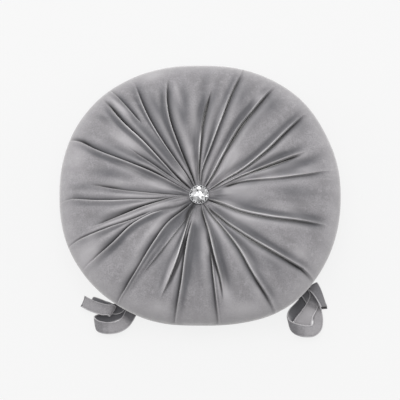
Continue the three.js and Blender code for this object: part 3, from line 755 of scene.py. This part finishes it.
def fold_side(pad, fold, creased, shares, distance, gore):
    """One side of a fold: how far out it moves the cloth, and what it adds to the marks of painted light
    and shade.

    The creased side drops steeply and swells further off. The other side rises to the ridge, with
    a trough behind it. distance is from the fold's edge, and gore is the room to the next fold.
    """
    here = presence(fold, shares)
    strength = pad.fold_depth * FOLD_STRENGTH.at(shares)
    amount = here * strength * fold.depth * np.minimum(gore / STEEP_GORE, 1)
    weight = here * np.sqrt(strength) * fold.depth / FULL_DEPTH
    room = np.minimum(gore / FULL_GORE, 1)
    spread = distance / room
    if creased:
        swell = FULLNESS.at(room) * bump(spread, SWELL_AT, SWELL_WIDTH)
        line = distance / np.minimum(CREASE_SPREAD.at(shares), NARROW_CREASE * gore / FULL_GORE)
        # The creased side's marks: painted shade in the crease and beside it, and painted light on the
        # swell
        return amount * (SWELL_SHARE * swell - np.exp(-spread / CREASE_REACH)), {
            "crease": fold.dark * weight * bump(line, CREASE_AT, CREASE_WIDTH),
            "shade": SHADE * weight * bump(spread, 0, SHADE_REACH),
            "light": SWELL_LIGHT.at(shares) * weight * swell,
        }
    trough = FULLNESS.at(room) * bump(spread, TROUGH_AT, TROUGH_WIDTH)
    pale = fold.glint * RIDGE_HIGHLIGHT.at(shares)
    pale = pale * (1 - RIDGE_LOST * smoothstep(shares, fold.end - RIDGE_FADE, fold.end))
    # The ridge side's marks: a painted highlight along the ridge, and painted shade in the trough behind
    # it
    return amount * (RIDGE_SHARE * bump(spread, 0, RIDGE_REACH) - TROUGH_SHARE * trough), {
        "ridge": pale * weight * bump(distance / np.sqrt(room), 0, RIDGE_WIDTH),
        "shade": weight * trough,
    }


def join_strips(strips):
    """Strips of rings side by side, with a few columns on the step between one and the next."""
    columns = []
    for k, strip in enumerate(strips):
        for w in np.arange(1, STEP_COLUMNS + 1) / (STEP_COLUMNS + 1):
            columns.append(strips[k - 1][:, -1:] * (1 - w) + strip[:, :1] * w)
        columns.append(strip)
    return np.concatenate(columns, axis=1)


def fold_cloth(pad, shares, heights):
    """The pad's points ring by ring, and their marks by name.

    The ridge mark is a painted highlight along a fold's edge, and the crease mark is painted shade
    in its crease line. Painted shade lies beside the crease, behind the ridge, in hollows and on the
    dark painted patches. Painted light lies on the swell before the crease, on the pale painted
    patches and round the rim.
    """
    normal_out, normal_up = (row[:, None] for row in section_normals(pad, shares, heights))
    folded = folded_share(pad, shares, heights)[:, None]
    shares = shares[:, None]
    heights = heights[:, None]
    marked = np.where(shares < pad.crown_share, 1, folded)
    sunk = pad.fold_depth * HOLLOW_STRENGTH.at(shares)
    angles = [along_fold(fold.angles, shares) for fold in FOLDS]
    steps = np.degrees(FOLD_STEP.at(shares) / (shares * pad.half_width))

    strips = {kind: [] for kind in ("points", *MARKS)}
    for k, low in enumerate(FOLDS):
        after = (k + 1) % len(FOLDS)
        high = FOLDS[after]
        span = (angles[after] - angles[k]) % 360
        count = LEAST_COLUMNS + round(float(span.mean()) / COLUMN_DEGREES)
        across = 0.5 - 0.5 * np.cos(np.pi * np.arange(count + 1) / count)
        half_step = np.minimum(steps / 2, MOST_STEP * span)
        angle = angles[k] + half_step + across * (span - 2 * half_step)
        rim = outline_radius(pad, angle)
        per_degree = np.radians(1) * shares * rim
        gore = span * per_degree
        both = np.minimum(presence(low, shares), presence(high, shares))
        out = both * np.minimum(PUFF * gore, MOST_PUFF) * np.sin(np.pi * across)
        marks = {mark: np.zeros_like(angle) for mark in MARKS}
        # Painted light round the rim, which stands in for the velvet's sheen
        marks["light"] += RIM_LIGHT.at(shares)
        for fold, share_across, side in ((low, across, -1), (high, 1 - across, 1)):
            moved, added = fold_side(pad, fold, fold.facing == side, shares, share_across * gore, gore)
            out += moved
            for mark, amount in added.items():
                marks[mark] += amount
        for hollow in HOLLOWS:
            away = turn_between(angle, along_fold(hollow.angles, shares)) * per_degree
            dip = presence(hollow, shares) * bump(away, 0, hollow.width)
            out -= sunk * hollow.depth * dip
            # Painted shade in the hollow, darker in a dark pit
            marks["crease"] += hollow.dark * dip
            marks["shade"] += dip * hollow.depth / FULL_DEPTH
        # Patches of painted shade and painted light
        for painted_patch in PAINTED_PATCHES:
            away = turn_between(angle, painted_patch.at) * per_degree
            patch = bump(away, 0, painted_patch.width) * bump(shares, painted_patch.share, painted_patch.reach)
            marks["shade" if painted_patch.dark > 0 else "light"] += abs(painted_patch.dark) * patch
        out *= folded
        radius = shares * rim + normal_out * out
        turn = np.radians(angle)
        strips["points"].append(np.stack(
            (radius * np.cos(turn), radius * np.sin(turn), heights + normal_up * out), axis=-1))
        for mark in MARKS:
            strips[mark].append(marks[mark] * marked)
    points = join_strips(strips.pop("points"))
    return points, {mark: join_strips(kind) for mark, kind in strips.items()}


def soften_cloth(pad, points, shares):
    """Lift the points by small puckers round the button and slow waves over the rest."""
    x, y, z = np.moveaxis(points, -1, 0)
    shares = shares[:, None]
    angle = np.arctan2(y, x)
    near_button = smoothstep(shares, pad.seat_share, RIPPLES_FULL) * RIPPLE_FADE.at(shares)
    ripple = sum(height * np.cos(count * angle + phase) for count, phase, height in RIPPLES)
    z += RIPPLE_HEIGHT * near_button * ripple
    wave = sum(np.sin(along_x * x + along_y * y + phase) for along_x, along_y, phase in WAVES)
    z += WAVE_HEIGHT * wave * WAVE_STRENGTH.at(shares) * (z > WAVES_ABOVE)


def make_pad_mesh(pad):
    """The whole pad as one closed mesh, with its marks of painted light and shade and the way that its
    pile is stroked.
    """
    shares, heights = section_points(pad)
    points, marks = fold_cloth(pad, shares, heights)
    soften_cloth(pad, points, shares)
    rows, columns = points.shape[:2]
    below_widest = np.arange(rows) < np.argmax(shares)
    # The seam's groove, with painted shade in it and beside it
    groove = bump(heights, pad.seam_height, SEAM_WIDTH) * below_widest
    beside = bump(heights, pad.seam_height, SEAM_SHADE_WIDTH) * below_widest
    points[..., :2] *= (1 - SEAM_DEPTH * groove)[:, None, None]
    marks["crease"] += (SEAM_GROOVE_SHADE * groove + SEAM_SHADE * beside)[:, None]
    vertices = np.vstack((points.reshape(-1, 3), [[0, 0, 0], [0, 0, pad.seat_height]]))
    base = rows * columns
    faces = grid_faces(rows, columns)
    faces += cap_faces(base, 0, columns, False)
    faces += cap_faces(base + 1, base - columns, columns, True)
    piece = mesh_object("velvet_pad", vertices, faces)
    for mark, values in marks.items():
        add_attribute(piece, mark, np.append(np.clip(values, 0, 1), (0, 0)))
    turn = np.arctan2(vertices[:, 1], vertices[:, 0])
    out = np.append(np.repeat(shares, columns), (0, 0))
    streak = piece.data.attributes.new("streak", "FLOAT_VECTOR", "POINT")
    vectors = np.stack((np.cos(turn), np.sin(turn), STREAK_STRETCH * out), axis=1)
    streak.data.foreach_set("vector", vectors.ravel())
    return piece


# Materials

class Look:
    """A node material in the making, with the piece's own coordinates to draw on."""

    def __init__(self, name):
        self.material = bpy.data.materials.new(name)
        self.material.use_nodes = True
        self.nodes = self.material.node_tree.nodes
        self.links = self.material.node_tree.links
        self.place = self.node("ShaderNodeTexCoord", "Object", {})

    def fill(self, node, inputs):
        """Give a node's inputs fixed values or other nodes' outputs."""
        for name, value in inputs.items():
            if isinstance(value, bpy.types.NodeSocket):
                self.links.new(value, node.inputs[name])
            else:
                node.inputs[name].default_value = value

    def node(self, kind, output, inputs, **settings):
        """One output of a new node."""
        made = self.nodes.new(kind)
        for name, value in settings.items():
            setattr(made, name, value)
        self.fill(made, inputs)
        return made.outputs[output]

    def noise(self, source, scale, detail):
        """A noise texture."""
        inputs = {"Vector": source, "Scale": scale, "Detail": detail}
        return self.node("ShaderNodeTexNoise", "Fac", inputs)

    def attribute(self, name, output="Fac"):
        """What the mesh says at each point or face."""
        return self.node("ShaderNodeAttribute", output, {}, attribute_name=name)

    def scaled(self, value, low, high, to_low, to_high):
        """A value moved from one range to another, and kept inside it."""
        inputs = {"Value": value, "From Min": low, "From Max": high, "To Min": to_low, "To Max": to_high}
        return self.node("ShaderNodeMapRange", "Result", inputs)

    def mix(self, amount, first, second):
        """A mix of two colours, on the node's colour sockets."""
        inputs = {"Factor": amount, 6: first, 7: second}
        return self.node("ShaderNodeMix", 2, inputs, data_type="RGBA")

    def finish(self, inputs):
        """The finished material, with its shader's inputs filled."""
        self.fill(self.nodes["Principled BSDF"], inputs)
        return self.material


def velvet_material(name, finish):
    """Short velvet pile: brushed streaks, painted highlights on the fold edges, painted shade in and
    beside the creases, painted light on the swells and rim, and a soft sheen.
    """
    look = Look(name)
    sources = {"place": look.place, "streak": look.attribute("streak", "Vector")}
    cloth = tint(finish.velvet, PILE_TINT)
    for source, scale, shown, share, factor in PILE_LAYERS:
        amount = look.scaled(look.noise(sources[source], scale, detail=3), *shown, *share)
        cloth = look.mix(amount, cloth, tint(finish.velvet, factor))
    # Painted light and shade over the pile, each showing at most a given share: shade, light, highlights
    # along the ridges, and the darkest shade in the creases
    for mark, colour, most in (
            ("shade", finish.velvet_shade, 0.8),
            ("light", finish.velvet_light, 0.7),
            ("ridge", finish.velvet_ridge_highlight, 0.9),
            ("crease", finish.velvet_crease_shade, 0.95)):
        cloth = look.mix(look.scaled(look.attribute(mark), 0, 1, 0, most), cloth, tint(colour))
    pile = look.noise(look.place, scale=1500, detail=2)
    relief = {"Strength": 0.35, "Distance": 0.0004, "Height": pile}
    return look.finish({
        "Base Color": cloth,
        "Normal": look.node("ShaderNodeBump", "Normal", relief),
        "Roughness": look.scaled(pile, 0.2, 0.8, 0.78, 0.95),
        "Specular IOR Level": 0.15,
        "Sheen Weight": 1.0,
        "Sheen Roughness": 0.36,
        "Sheen Tint": (0.95, 0.94, 0.93, 1.0),
    })


def thread_material(finish):
    """Twisted sewing thread."""
    look = Look("sewing_thread")
    strand = look.noise(look.place, scale=4200, detail=1)
    return look.finish({
        "Base Color": look.mix(strand, tint(finish.thread, 0.7), tint(finish.thread)),
        "Roughness": 0.75,
        "Sheen Weight": 0.3,
    })


def metal_material(name, colour):
    """Metal with faint handling marks."""
    look = Look(name)
    marks = look.noise(look.place, scale=700, detail=4)
    return look.finish({
        "Base Color": look.mix(marks, tint(colour, 0.75), tint(colour)),
        "Roughness": look.scaled(marks, 0.3, 0.7, 0.12, 0.3),
        "Metallic": 1.0,
    })


def crystal_material():
    """Cut glass over silver foil, with a painted reflection on each facet, brighter or darker."""
    look = Look("crystal_painted_reflections")
    cloudy = look.noise(look.place, scale=260, detail=2)
    # Each facet's painted reflection, dark to bright
    facet = look.mix(look.attribute("painted_sparkle"), DARK_REFLECTION, BRIGHT_REFLECTION)
    return look.finish({
        "Base Color": look.mix(look.scaled(cloudy, 0.45, 0.8, 0, 0.25), facet, CLOUDY_GLASS),
        "Roughness": look.scaled(cloudy, 0.3, 0.7, 0.05, 0.12),
        "Metallic": 0.35,
        "Specular IOR Level": 0.8,
        "Coat Weight": 0.6,
        "Coat Roughness": 0.03,
    })


def floor_material(stage):
    """A studio floor that is pale by an even glow, like a photographer's sweep."""
    look = Look("studio_floor")
    grain = look.noise(look.place, scale=3, detail=2)
    return look.finish({
        "Base Color": look.mix(grain, tint(stage.floor, 0.985), tint(stage.floor)),
        "Roughness": 0.95,
        "Specular IOR Level": 0.1,
        "Emission Color": (1, 1, 1, 1),
        "Emission Strength": 0.83,
    })


# Geometry Nodes for what repeats

def bead_nodes(name, material):
    """A group of nodes that sets small drawn-out beads along a path of edges."""
    tree = bpy.data.node_groups.new(name + "_nodes", "GeometryNodeTree")
    tree.interface.new_socket("Geometry", in_out="INPUT", socket_type="NodeSocketGeometry")
    for label in ("Pitch", "Half length", "Half thickness"):
        tree.interface.new_socket(label, in_out="INPUT", socket_type="NodeSocketFloat")
    tree.interface.new_socket("Geometry", in_out="OUTPUT", socket_type="NodeSocketGeometry")
    chain = [tree.nodes.new(kind) for kind in BEAD_CHAIN]
    for before, after in zip(chain, chain[1:]):
        tree.links.new(before.outputs[0], after.inputs[0])
    path, _, resample, instance, _, _, finish, _ = chain
    resample.mode = "LENGTH"
    finish.inputs["Material"].default_value = material
    bead = tree.nodes.new("GeometryNodeMeshIcoSphere")
    bead.inputs["Radius"].default_value = 1.0
    bead.inputs["Subdivisions"].default_value = 1
    tangent = tree.nodes.new("GeometryNodeInputTangent")
    align = tree.nodes.new("FunctionNodeAlignRotationToVector")
    align.axis = "X"
    size = tree.nodes.new("ShaderNodeCombineXYZ")
    for output, entry in (
            (path.outputs["Pitch"], resample.inputs["Length"]),
            (path.outputs["Half length"], size.inputs["X"]),
            (path.outputs["Half thickness"], size.inputs["Y"]),
            (path.outputs["Half thickness"], size.inputs["Z"]),
            (tangent.outputs["Tangent"], align.inputs["Vector"]),
            (bead.outputs["Mesh"], instance.inputs["Instance"]),
            (align.outputs["Rotation"], instance.inputs["Rotation"]),
            (size.outputs["Vector"], instance.inputs["Scale"])):
        tree.links.new(output, entry)
    return tree


def beads_along_path(name, path, pitch, size, material):
    """Small drawn-out beads, such as stitches, set along a path by Geometry Nodes.

    path is its points and edges, and size is a bead's half length and half thickness.
    """
    values = {"Pitch": pitch, "Half length": size[0], "Half thickness": size[1]}
    points, edges = path
    path_mesh = bpy.data.meshes.new(name + "_path")
    path_mesh.from_pydata([tuple(p) for p in points], edges, [])
    holder = add_object(name + "_path", path_mesh)
    modifier = holder.modifiers.new("beads", "NODES")
    modifier.node_group = bead_nodes(name, material)
    for socket in modifier.node_group.interface.items_tree:
        if socket.name in values:
            modifier[socket.identifier] = values[socket.name]
    depsgraph = bpy.context.evaluated_depsgraph_get()
    mesh = bpy.data.meshes.new_from_object(holder.evaluated_get(depsgraph))
    mesh.name = name
    bpy.data.objects.remove(holder)
    bpy.data.meshes.remove(path_mesh)
    return add_object(name, mesh)


# The button

def make_crystal_mesh(button):
    """A rose-cut stone: rings of facets that rise from the girdle to a point."""
    radius = (CRYSTAL_HIGH.x - CRYSTAL_LOW.x) / 2
    girdle = CRYSTAL_HIGH.z - button.crystal_rise
    mesh = bmesh.new()

    def ring(share, height, count, turn):
        """New points round the stone."""
        angles = [2 * math.pi / count * (i + turn) for i in range(count)]
        out = share * radius
        return [mesh.verts.new((out * math.cos(a), out * math.sin(a), height)) for a in angles]

    foot = ring(CRYSTAL_FOOT, CRYSTAL_LOW.z, 2 * FACETS, 0.0)
    outer, middle, inner = (
        ring(share, girdle + rise * button.crystal_rise, count, turn)
        for share, rise, count, turn in CRYSTAL_RINGS)
    tip = mesh.verts.new((0, 0, CRYSTAL_HIGH.z))
    faces = [tuple(reversed(foot))]
    for i in range(2 * FACETS):
        j = (i + 1) % (2 * FACETS)
        faces.append((foot[i], foot[j], outer[j], outer[i]))
    for i in range(FACETS):
        j = (i + 1) % FACETS
        faces += [
            (outer[2 * i], outer[2 * i + 1], middle[i]),
            (outer[2 * i + 1], outer[2 * j], middle[i]),
            (outer[2 * j], middle[j], middle[i]),
            (middle[i], inner[j], inner[i]),
            (middle[i], middle[j], inner[j]),
            (inner[i], inner[j], tip),
        ]
    for face in faces:
        mesh.faces.new(face)
    bmesh.ops.recalc_face_normals(mesh, faces=mesh.faces)
    data = bpy.data.meshes.new("cut_crystal")
    mesh.to_mesh(data)
    mesh.free()
    piece = add_object("cut_crystal", data)
    # A painted reflection for each facet, picked at random
    draw = np.random.default_rng(FACET_SEED)
    add_attribute(piece, "painted_sparkle", draw.choice(FACET_LIGHTS, size=len(data.polygons)), "FACE")
    return piece


def make_setting_mesh():
    """The metal cup: a turned section with a rolled lip round the crystal."""
    low = SETTING_LOW.z
    radius = SETTING_HIGH.x
    bore = CRYSTAL_HIGH.x + CRYSTAL_GAP
    floor = CRYSTAL_LOW.z - CRYSTAL_GAP
    lip = (radius - bore) / 2
    section = [(radius - inward * lip, low + up * lip) for inward, up in SETTING_FOOT]
    for turn in np.linspace(0, np.pi, LIP_POINTS):
        section.append((radius - lip + lip * math.cos(turn), SETTING_HIGH.z - lip + lip * math.sin(turn)))
    section.append((bore, floor))
    angles = np.linspace(0, 2 * np.pi, SETTING_COLUMNS, endpoint=False)
    vertices = [(0, 0, low)]
    for out, height in section:
        vertices += [(out * math.cos(a), out * math.sin(a), height) for a in angles]
    top = len(vertices)
    vertices.append((0, 0, floor))
    faces = grid_faces(len(section), SETTING_COLUMNS, start=1)
    faces += cap_faces(0, 1, SETTING_COLUMNS, False)
    faces += cap_faces(top, top - SETTING_COLUMNS, SETTING_COLUMNS, True)
    return mesh_object("metal_setting", vertices, faces)


# The ties

class Route(NamedTuple):
    """A tie's middle line at each ring: its point, the directions along, across and out, the distance."""

    points: np.ndarray
    along: np.ndarray
    across: np.ndarray
    normal: np.ndarray
    distance: np.ndarray


def tie_route(rows):
    """A smooth curve through a tie's stations, its direction across as long as its spread."""
    stations = [Station(*row) for row in rows]
    knots = np.array([(s.x, s.y, s.z) for s in stations])
    padded = np.vstack((2 * knots[0] - knots[1], knots, 2 * knots[-1] - knots[-2]))
    gaps = np.sqrt(np.linalg.norm(np.diff(padded, axis=0), axis=1))
    turn = np.radians([s.turn for s in stations])
    lift = np.radians([s.lift for s in stations])
    widths = np.stack((np.cos(turn) * np.cos(lift), np.sin(turn) * np.cos(lift), np.sin(lift)), axis=1)
    spreads = [s.spread for s in stations]
    points, along, across, spread = [], [], [], []
    for k in range(len(stations) - 1):
        a, b, c, d = padded[k:k + 4]
        g0, g1, g2 = gaps[k:k + 3]
        leave = ((b - a) / g0 - (c - a) / (g0 + g1) + (c - b) / g1) * g1
        arrive = ((c - b) / g1 - (d - b) / (g1 + g2) + (d - c) / g2) * g1
        square = 3 * (c - b) - 2 * leave - arrive
        cube = 2 * (b - c) + leave + arrive
        is_last = k == len(stations) - 2
        for t in np.arange(TIE_STEPS + is_last) / TIE_STEPS:
            points.append(b + leave * t + square * t ** 2 + cube * t ** 3)
            along.append(leave + 2 * square * t + 3 * cube * t ** 2)
            across.append(widths[k] * (1 - t) + widths[k + 1] * t)
            spread.append(spreads[k] * (1 - t) + spreads[k + 1] * t)
    along = unit_rows(along)
    across = unit_rows(across) * np.array(spread)[:, None]
    distance = np.append(0, np.cumsum(np.linalg.norm(np.diff(points, axis=0), axis=1)))
    return Route(np.array(points), along, across, unit_rows(np.cross(along, across)), distance)


def tie_section(tie):
    """Shares across and thickness of a flattened sewn tube, all the way round."""
    turn = np.linspace(0, 2 * np.pi, TIE_COLUMNS, endpoint=False)
    across = np.sign(np.cos(turn)) * np.abs(np.cos(turn)) ** SIDE_POWER
    thick = np.sign(np.sin(turn)) * np.abs(np.sin(turn)) ** FACE_POWER
    from_edge = (1 - np.abs(across)) * tie.width / 2
    return across, thick * (1 - GROOVE_DEPTH * bump(from_edge, tie.edge_stitch, GROOVE_WIDTH))


def tie_marks(name, route, wide, thick):
    """The painted highlights on a tie's edges, and its stretches of painted shade and painted light, ring
    by ring.
    """
    share = (route.distance / route.distance[-1])[:, None]
    at_edge = TIE_EDGE.at(np.abs(wide))
    painted_shading = np.zeros((len(share), TIE_COLUMNS))
    for shaded_stretch in TIE_SHADING[name]:
        begins = smoothstep(share, shaded_stretch.start - TONE_FADE, shaded_stretch.start + TONE_FADE)
        ends = smoothstep(share, shaded_stretch.end - TONE_FADE, shaded_stretch.end + TONE_FADE)
        painted_shading += shaded_stretch.dark * begins * (1 - ends) * np.clip(TONE_TURN * shaded_stretch.face * thick, 0, 1)
    return {
        "ridge": np.tile(EDGE_HIGHLIGHT * at_edge, (len(share), 1)),
        "crease": np.zeros_like(painted_shading),
        "shade": np.clip(painted_shading * (1 - EDGE_LESS_SHADE * at_edge), 0, 1),
        "light": np.clip(-painted_shading, 0, 1),
    }


def make_tie_mesh(name, route, tie, open_end):
    """A soft ribbon along its route, uneven at its edges, and open at its free end."""
    points, along, across, normal, distance = route
    length = distance[-1]
    share = (distance / length)[:, None]
    wide, thick = tie_section(tie)
    half = tie.width / 2
    phase = SWAY_PHASE * list(TIES).index(name)
    sway = sum(
        np.sin(distance / reach + turn * phase)[:, None] * (0.5 + 0.5 * side * wide)
        for side, reach, turn in SWAYS)
    sway = SWAY_HEIGHT * sway * np.minimum(SWAY_IN.at(share), SWAY_OUT.at(share))
    gape = np.ones(len(points))
    lip = np.zeros(TIE_COLUMNS)
    if open_end:
        gape += GAPE * smoothstep(distance, length - GAPE_REACH, length)
        lip += LIP * np.clip(LIP_TURN * np.sign(normal[-1, 2]) * thick, 0, 1)
    bulk = np.outer(tie.thickness / 2 * gape, thick)
    back = np.outer(smoothstep(distance, length - LIP_REACH, length), lip)
    rings = (
        points[:, None]
        + across[:, None] * (half * wide)[:, None]
        + normal[:, None] * (bulk + sway)[..., None]
        - along[:, None] * back[..., None])
    rows = len(points)
    start = rows * TIE_COLUMNS
    last = start - TIE_COLUMNS
    end_row = rows - 1
    vertices = [*rings.reshape(-1, 3), points[0]]
    faces = grid_faces(rows, TIE_COLUMNS) + cap_faces(start, 0, TIE_COLUMNS, False)
    if open_end:
        first = len(vertices)
        inner = [(rows - 1, depth + lip) for depth in MOUTH_DEPTHS]
        inner += [(np.searchsorted(distance, length - depth), 0 * lip) for depth in TUBE_DEPTHS]
        for row, inward in inner:
            inside = np.sign(thick) * np.maximum(np.abs(bulk[row]) - CLOTH, LEAST_OPENING)
            vertices += list(
                points[row] + np.outer((half - CLOTH) * wide, across[row])
                + np.outer(inside, normal[row]) - np.outer(inward, along[row]))
        faces += band_faces(last, first, TIE_COLUMNS)
        faces += grid_faces(len(inner), TIE_COLUMNS, first)
        last = len(vertices) - TIE_COLUMNS
        end_row = inner[-1][0]
    faces += cap_faces(len(vertices), last, TIE_COLUMNS, True)
    vertices.append(points[end_row])
    piece = mesh_object("velvet_" + name, vertices, faces)
    for mark, rings_marked in tie_marks(name, route, wide, thick).items():
        values = np.zeros(len(vertices))
        values[:start] = rings_marked.ravel()
        # Painted shade inside the open tube
        if mark == "crease" and open_end:
            values[first + TIE_COLUMNS:] = TUBE_SHADE
        add_attribute(piece, mark, values)
    return piece


def tie_stitch_lines(tie, route):
    """Points and edges of the rows of stitches, on both faces along both edges of a tie."""
    inset = (tie.width / 2 - tie.edge_stitch) * route.across
    rise = STITCH_HEIGHT * tie.thickness * route.normal
    vertices, edges = [], []
    for side in (-1, 1):
        for face in (-1, 1):
            first = len(vertices)
            vertices += list((route.points + side * inset + face * rise)[STITCHED])
            edges += [(i, i + 1) for i in range(first, len(vertices) - 1)]
    return vertices, edges


# Operators

class CHAIRPAD_OT_pad(bpy.types.Operator):
    """Make the filled velvet pad with its folds"""

    bl_idname = "chair_pad.make_pad"
    bl_label = "Make Pad"

    def execute(self, context):
        settings = context.scene.chair_pad
        piece = make_pad_mesh(settings.pad)
        piece.data.materials.append(velvet_material("pad_velvet", settings.finish))
        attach(piece, BODY)
        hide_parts("pad")
        return {"FINISHED"}


class CHAIRPAD_OT_button(bpy.types.Operator):
    """Make the crystal button, its setting and its claws"""

    bl_idname = "chair_pad.make_button"
    bl_label = "Make Button"

    def execute(self, context):
        settings = context.scene.chair_pad
        button = settings.button
        crystal = make_crystal_mesh(button)
        crystal.data.materials.append(crystal_material())
        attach(crystal, BODY)
        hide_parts("button_crystal")
        setting = make_setting_mesh()
        setting.data.materials.append(metal_material("setting_metal", settings.finish.metal))
        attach(setting, BODY)
        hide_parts("button_setting")
        circle = CRYSTAL_HIGH.x + CLAWS_OUT
        count = POINTS_PER_CLAW * button.claw_count
        turns = np.linspace(0, 2 * np.pi, count, endpoint=False)
        height = np.full(count, SETTING_HIGH.z - CLAWS_DOWN)
        points = np.stack((circle * np.cos(turns), circle * np.sin(turns), height), axis=1)
        edges = [(i, (i + 1) % count) for i in range(count)]
        pitch = 2 * math.pi * circle / button.claw_count
        claws = beads_along_path(
            "setting_claws", (points, edges), pitch, (button.claw_radius, button.claw_radius),
            metal_material("claw_metal", settings.finish.claws))
        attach(claws, BODY)
        return {"FINISHED"}


class CHAIRPAD_OT_ties(bpy.types.Operator):
    """Make the ribbon ties and their stitches"""

    bl_idname = "chair_pad.make_ties"
    bl_label = "Make Ties"

    def execute(self, context):
        settings = context.scene.chair_pad
        tie = settings.tie
        velvet = velvet_material("tie_velvet", settings.finish)
        thread = thread_material(settings.finish)
        for name, rows in TIES.items():
            route = tie_route(rows)
            piece = make_tie_mesh(name, route, tie, name in OPEN_ENDED_TIES)
            piece.data.materials.append(velvet)
            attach(piece, BODY)
            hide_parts(name)
            stitches = beads_along_path(
                "stitches_" + name, tie_stitch_lines(tie, route), tie.stitch_pitch,
                (tie.stitch_length / 2, tie.thread / 2), thread)
            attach(stitches, BODY)
        return {"FINISHED"}


class CHAIRPAD_OT_stage(bpy.types.Operator):
    """Make the floor, the light and the camera"""

    bl_idname = "chair_pad.make_stage"
    bl_label = "Make Stage"

    def execute(self, context):
        stage = context.scene.chair_pad.stage
        corners = [(x * FLOOR_REACH, y * FLOOR_REACH, 0) for x, y in ((-1, -1), (1, -1), (1, 1), (-1, 1))]
        floor = mesh_object("studio_floor_plane", corners, [(0, 1, 2, 3)])
        floor.data.materials.append(floor_material(stage))
        self.light_world(context.scene)
        for softbox in SOFTBOXES:
            self.add_softbox(*softbox)
        self.add_camera(context.scene, stage)
        return {"FINISHED"}

    @staticmethod
    def light_world(scene):
        """Even studio light from all round."""
        world = bpy.data.worlds.new("studio")
        world.use_nodes = True
        background = world.node_tree.nodes["Background"]
        background.inputs["Color"].default_value = (1.0, 1.0, 1.0, 1.0)
        background.inputs["Strength"].default_value = WORLD_LIGHT
        scene.world = world
        scene.view_settings.view_transform = "Standard"

    @staticmethod
    def add_softbox(name, place, size, power):
        """A square soft light that looks at the pad."""
        light = bpy.data.lights.new(name, "AREA")
        light.size = size
        light.energy = power
        holder = add_object(name, light)
        holder.location = place
        holder.rotation_euler = (-Vector(place)).to_track_quat("-Z", "Y").to_euler()

    @staticmethod
    def add_camera(scene, stage):
        """A long lens that looks down on the pad's face from the side with the ties."""
        data = bpy.data.cameras.new("camera")
        data.sensor_width = SENSOR_WIDTH
        data.lens = stage.lens
        distance = stage.lens / data.sensor_width * stage.view_width
        back = Vector((0, -math.cos(stage.elevation), math.sin(stage.elevation)))
        camera = add_object("camera", data)
        camera.location = Vector(stage.aim) + distance * back
        camera.rotation_euler = (math.pi / 2 - stage.elevation, 0, 0)
        scene.camera = camera


class CHAIRPAD_PT_panel(bpy.types.Panel):
    """Buttons and settings of the chair pad"""

    bl_idname = "CHAIRPAD_PT_panel"
    bl_label = "Chair Pad"
    bl_space_type = "VIEW_3D"
    bl_region_type = "UI"
    bl_category = "Chair Pad"

    def draw(self, context):
        settings = context.scene.chair_pad
        for group, title, operator in (
                (settings.pad, "Pad", CHAIRPAD_OT_pad),
                (settings.button, "Button", CHAIRPAD_OT_button),
                (settings.tie, "Ties", CHAIRPAD_OT_ties),
                (settings.stage, "Stage", CHAIRPAD_OT_stage),
                (settings.finish, "Colours", None)):
            box = self.layout.box()
            box.label(text=title)
            for name in group.__annotations__:
                box.prop(group, name)
            if operator:
                box.operator(operator.bl_idname)


CLASSES = (
    PadSizes, ButtonSizes, TieSizes, FinishColours, StageSettings, ChairPadSettings,
    CHAIRPAD_OT_pad, CHAIRPAD_OT_button, CHAIRPAD_OT_ties, CHAIRPAD_OT_stage, CHAIRPAD_PT_panel,
)


def register():
    """Register the classes and the settings."""
    for cls in CLASSES:
        bpy.utils.register_class(cls)
    bpy.types.Scene.chair_pad = bpy.props.PointerProperty(type=ChairPadSettings)


def unregister():
    """Take the settings and the classes away again."""
    del bpy.types.Scene.chair_pad
    for cls in reversed(CLASSES):
        bpy.utils.unregister_class(cls)


def main():
    """Build everything in order."""
    register()
    bpy.ops.chair_pad.make_stage()
    bpy.ops.chair_pad.make_pad()
    bpy.ops.chair_pad.make_button()
    bpy.ops.chair_pad.make_ties()


if __name__ == "__main__":
    main()
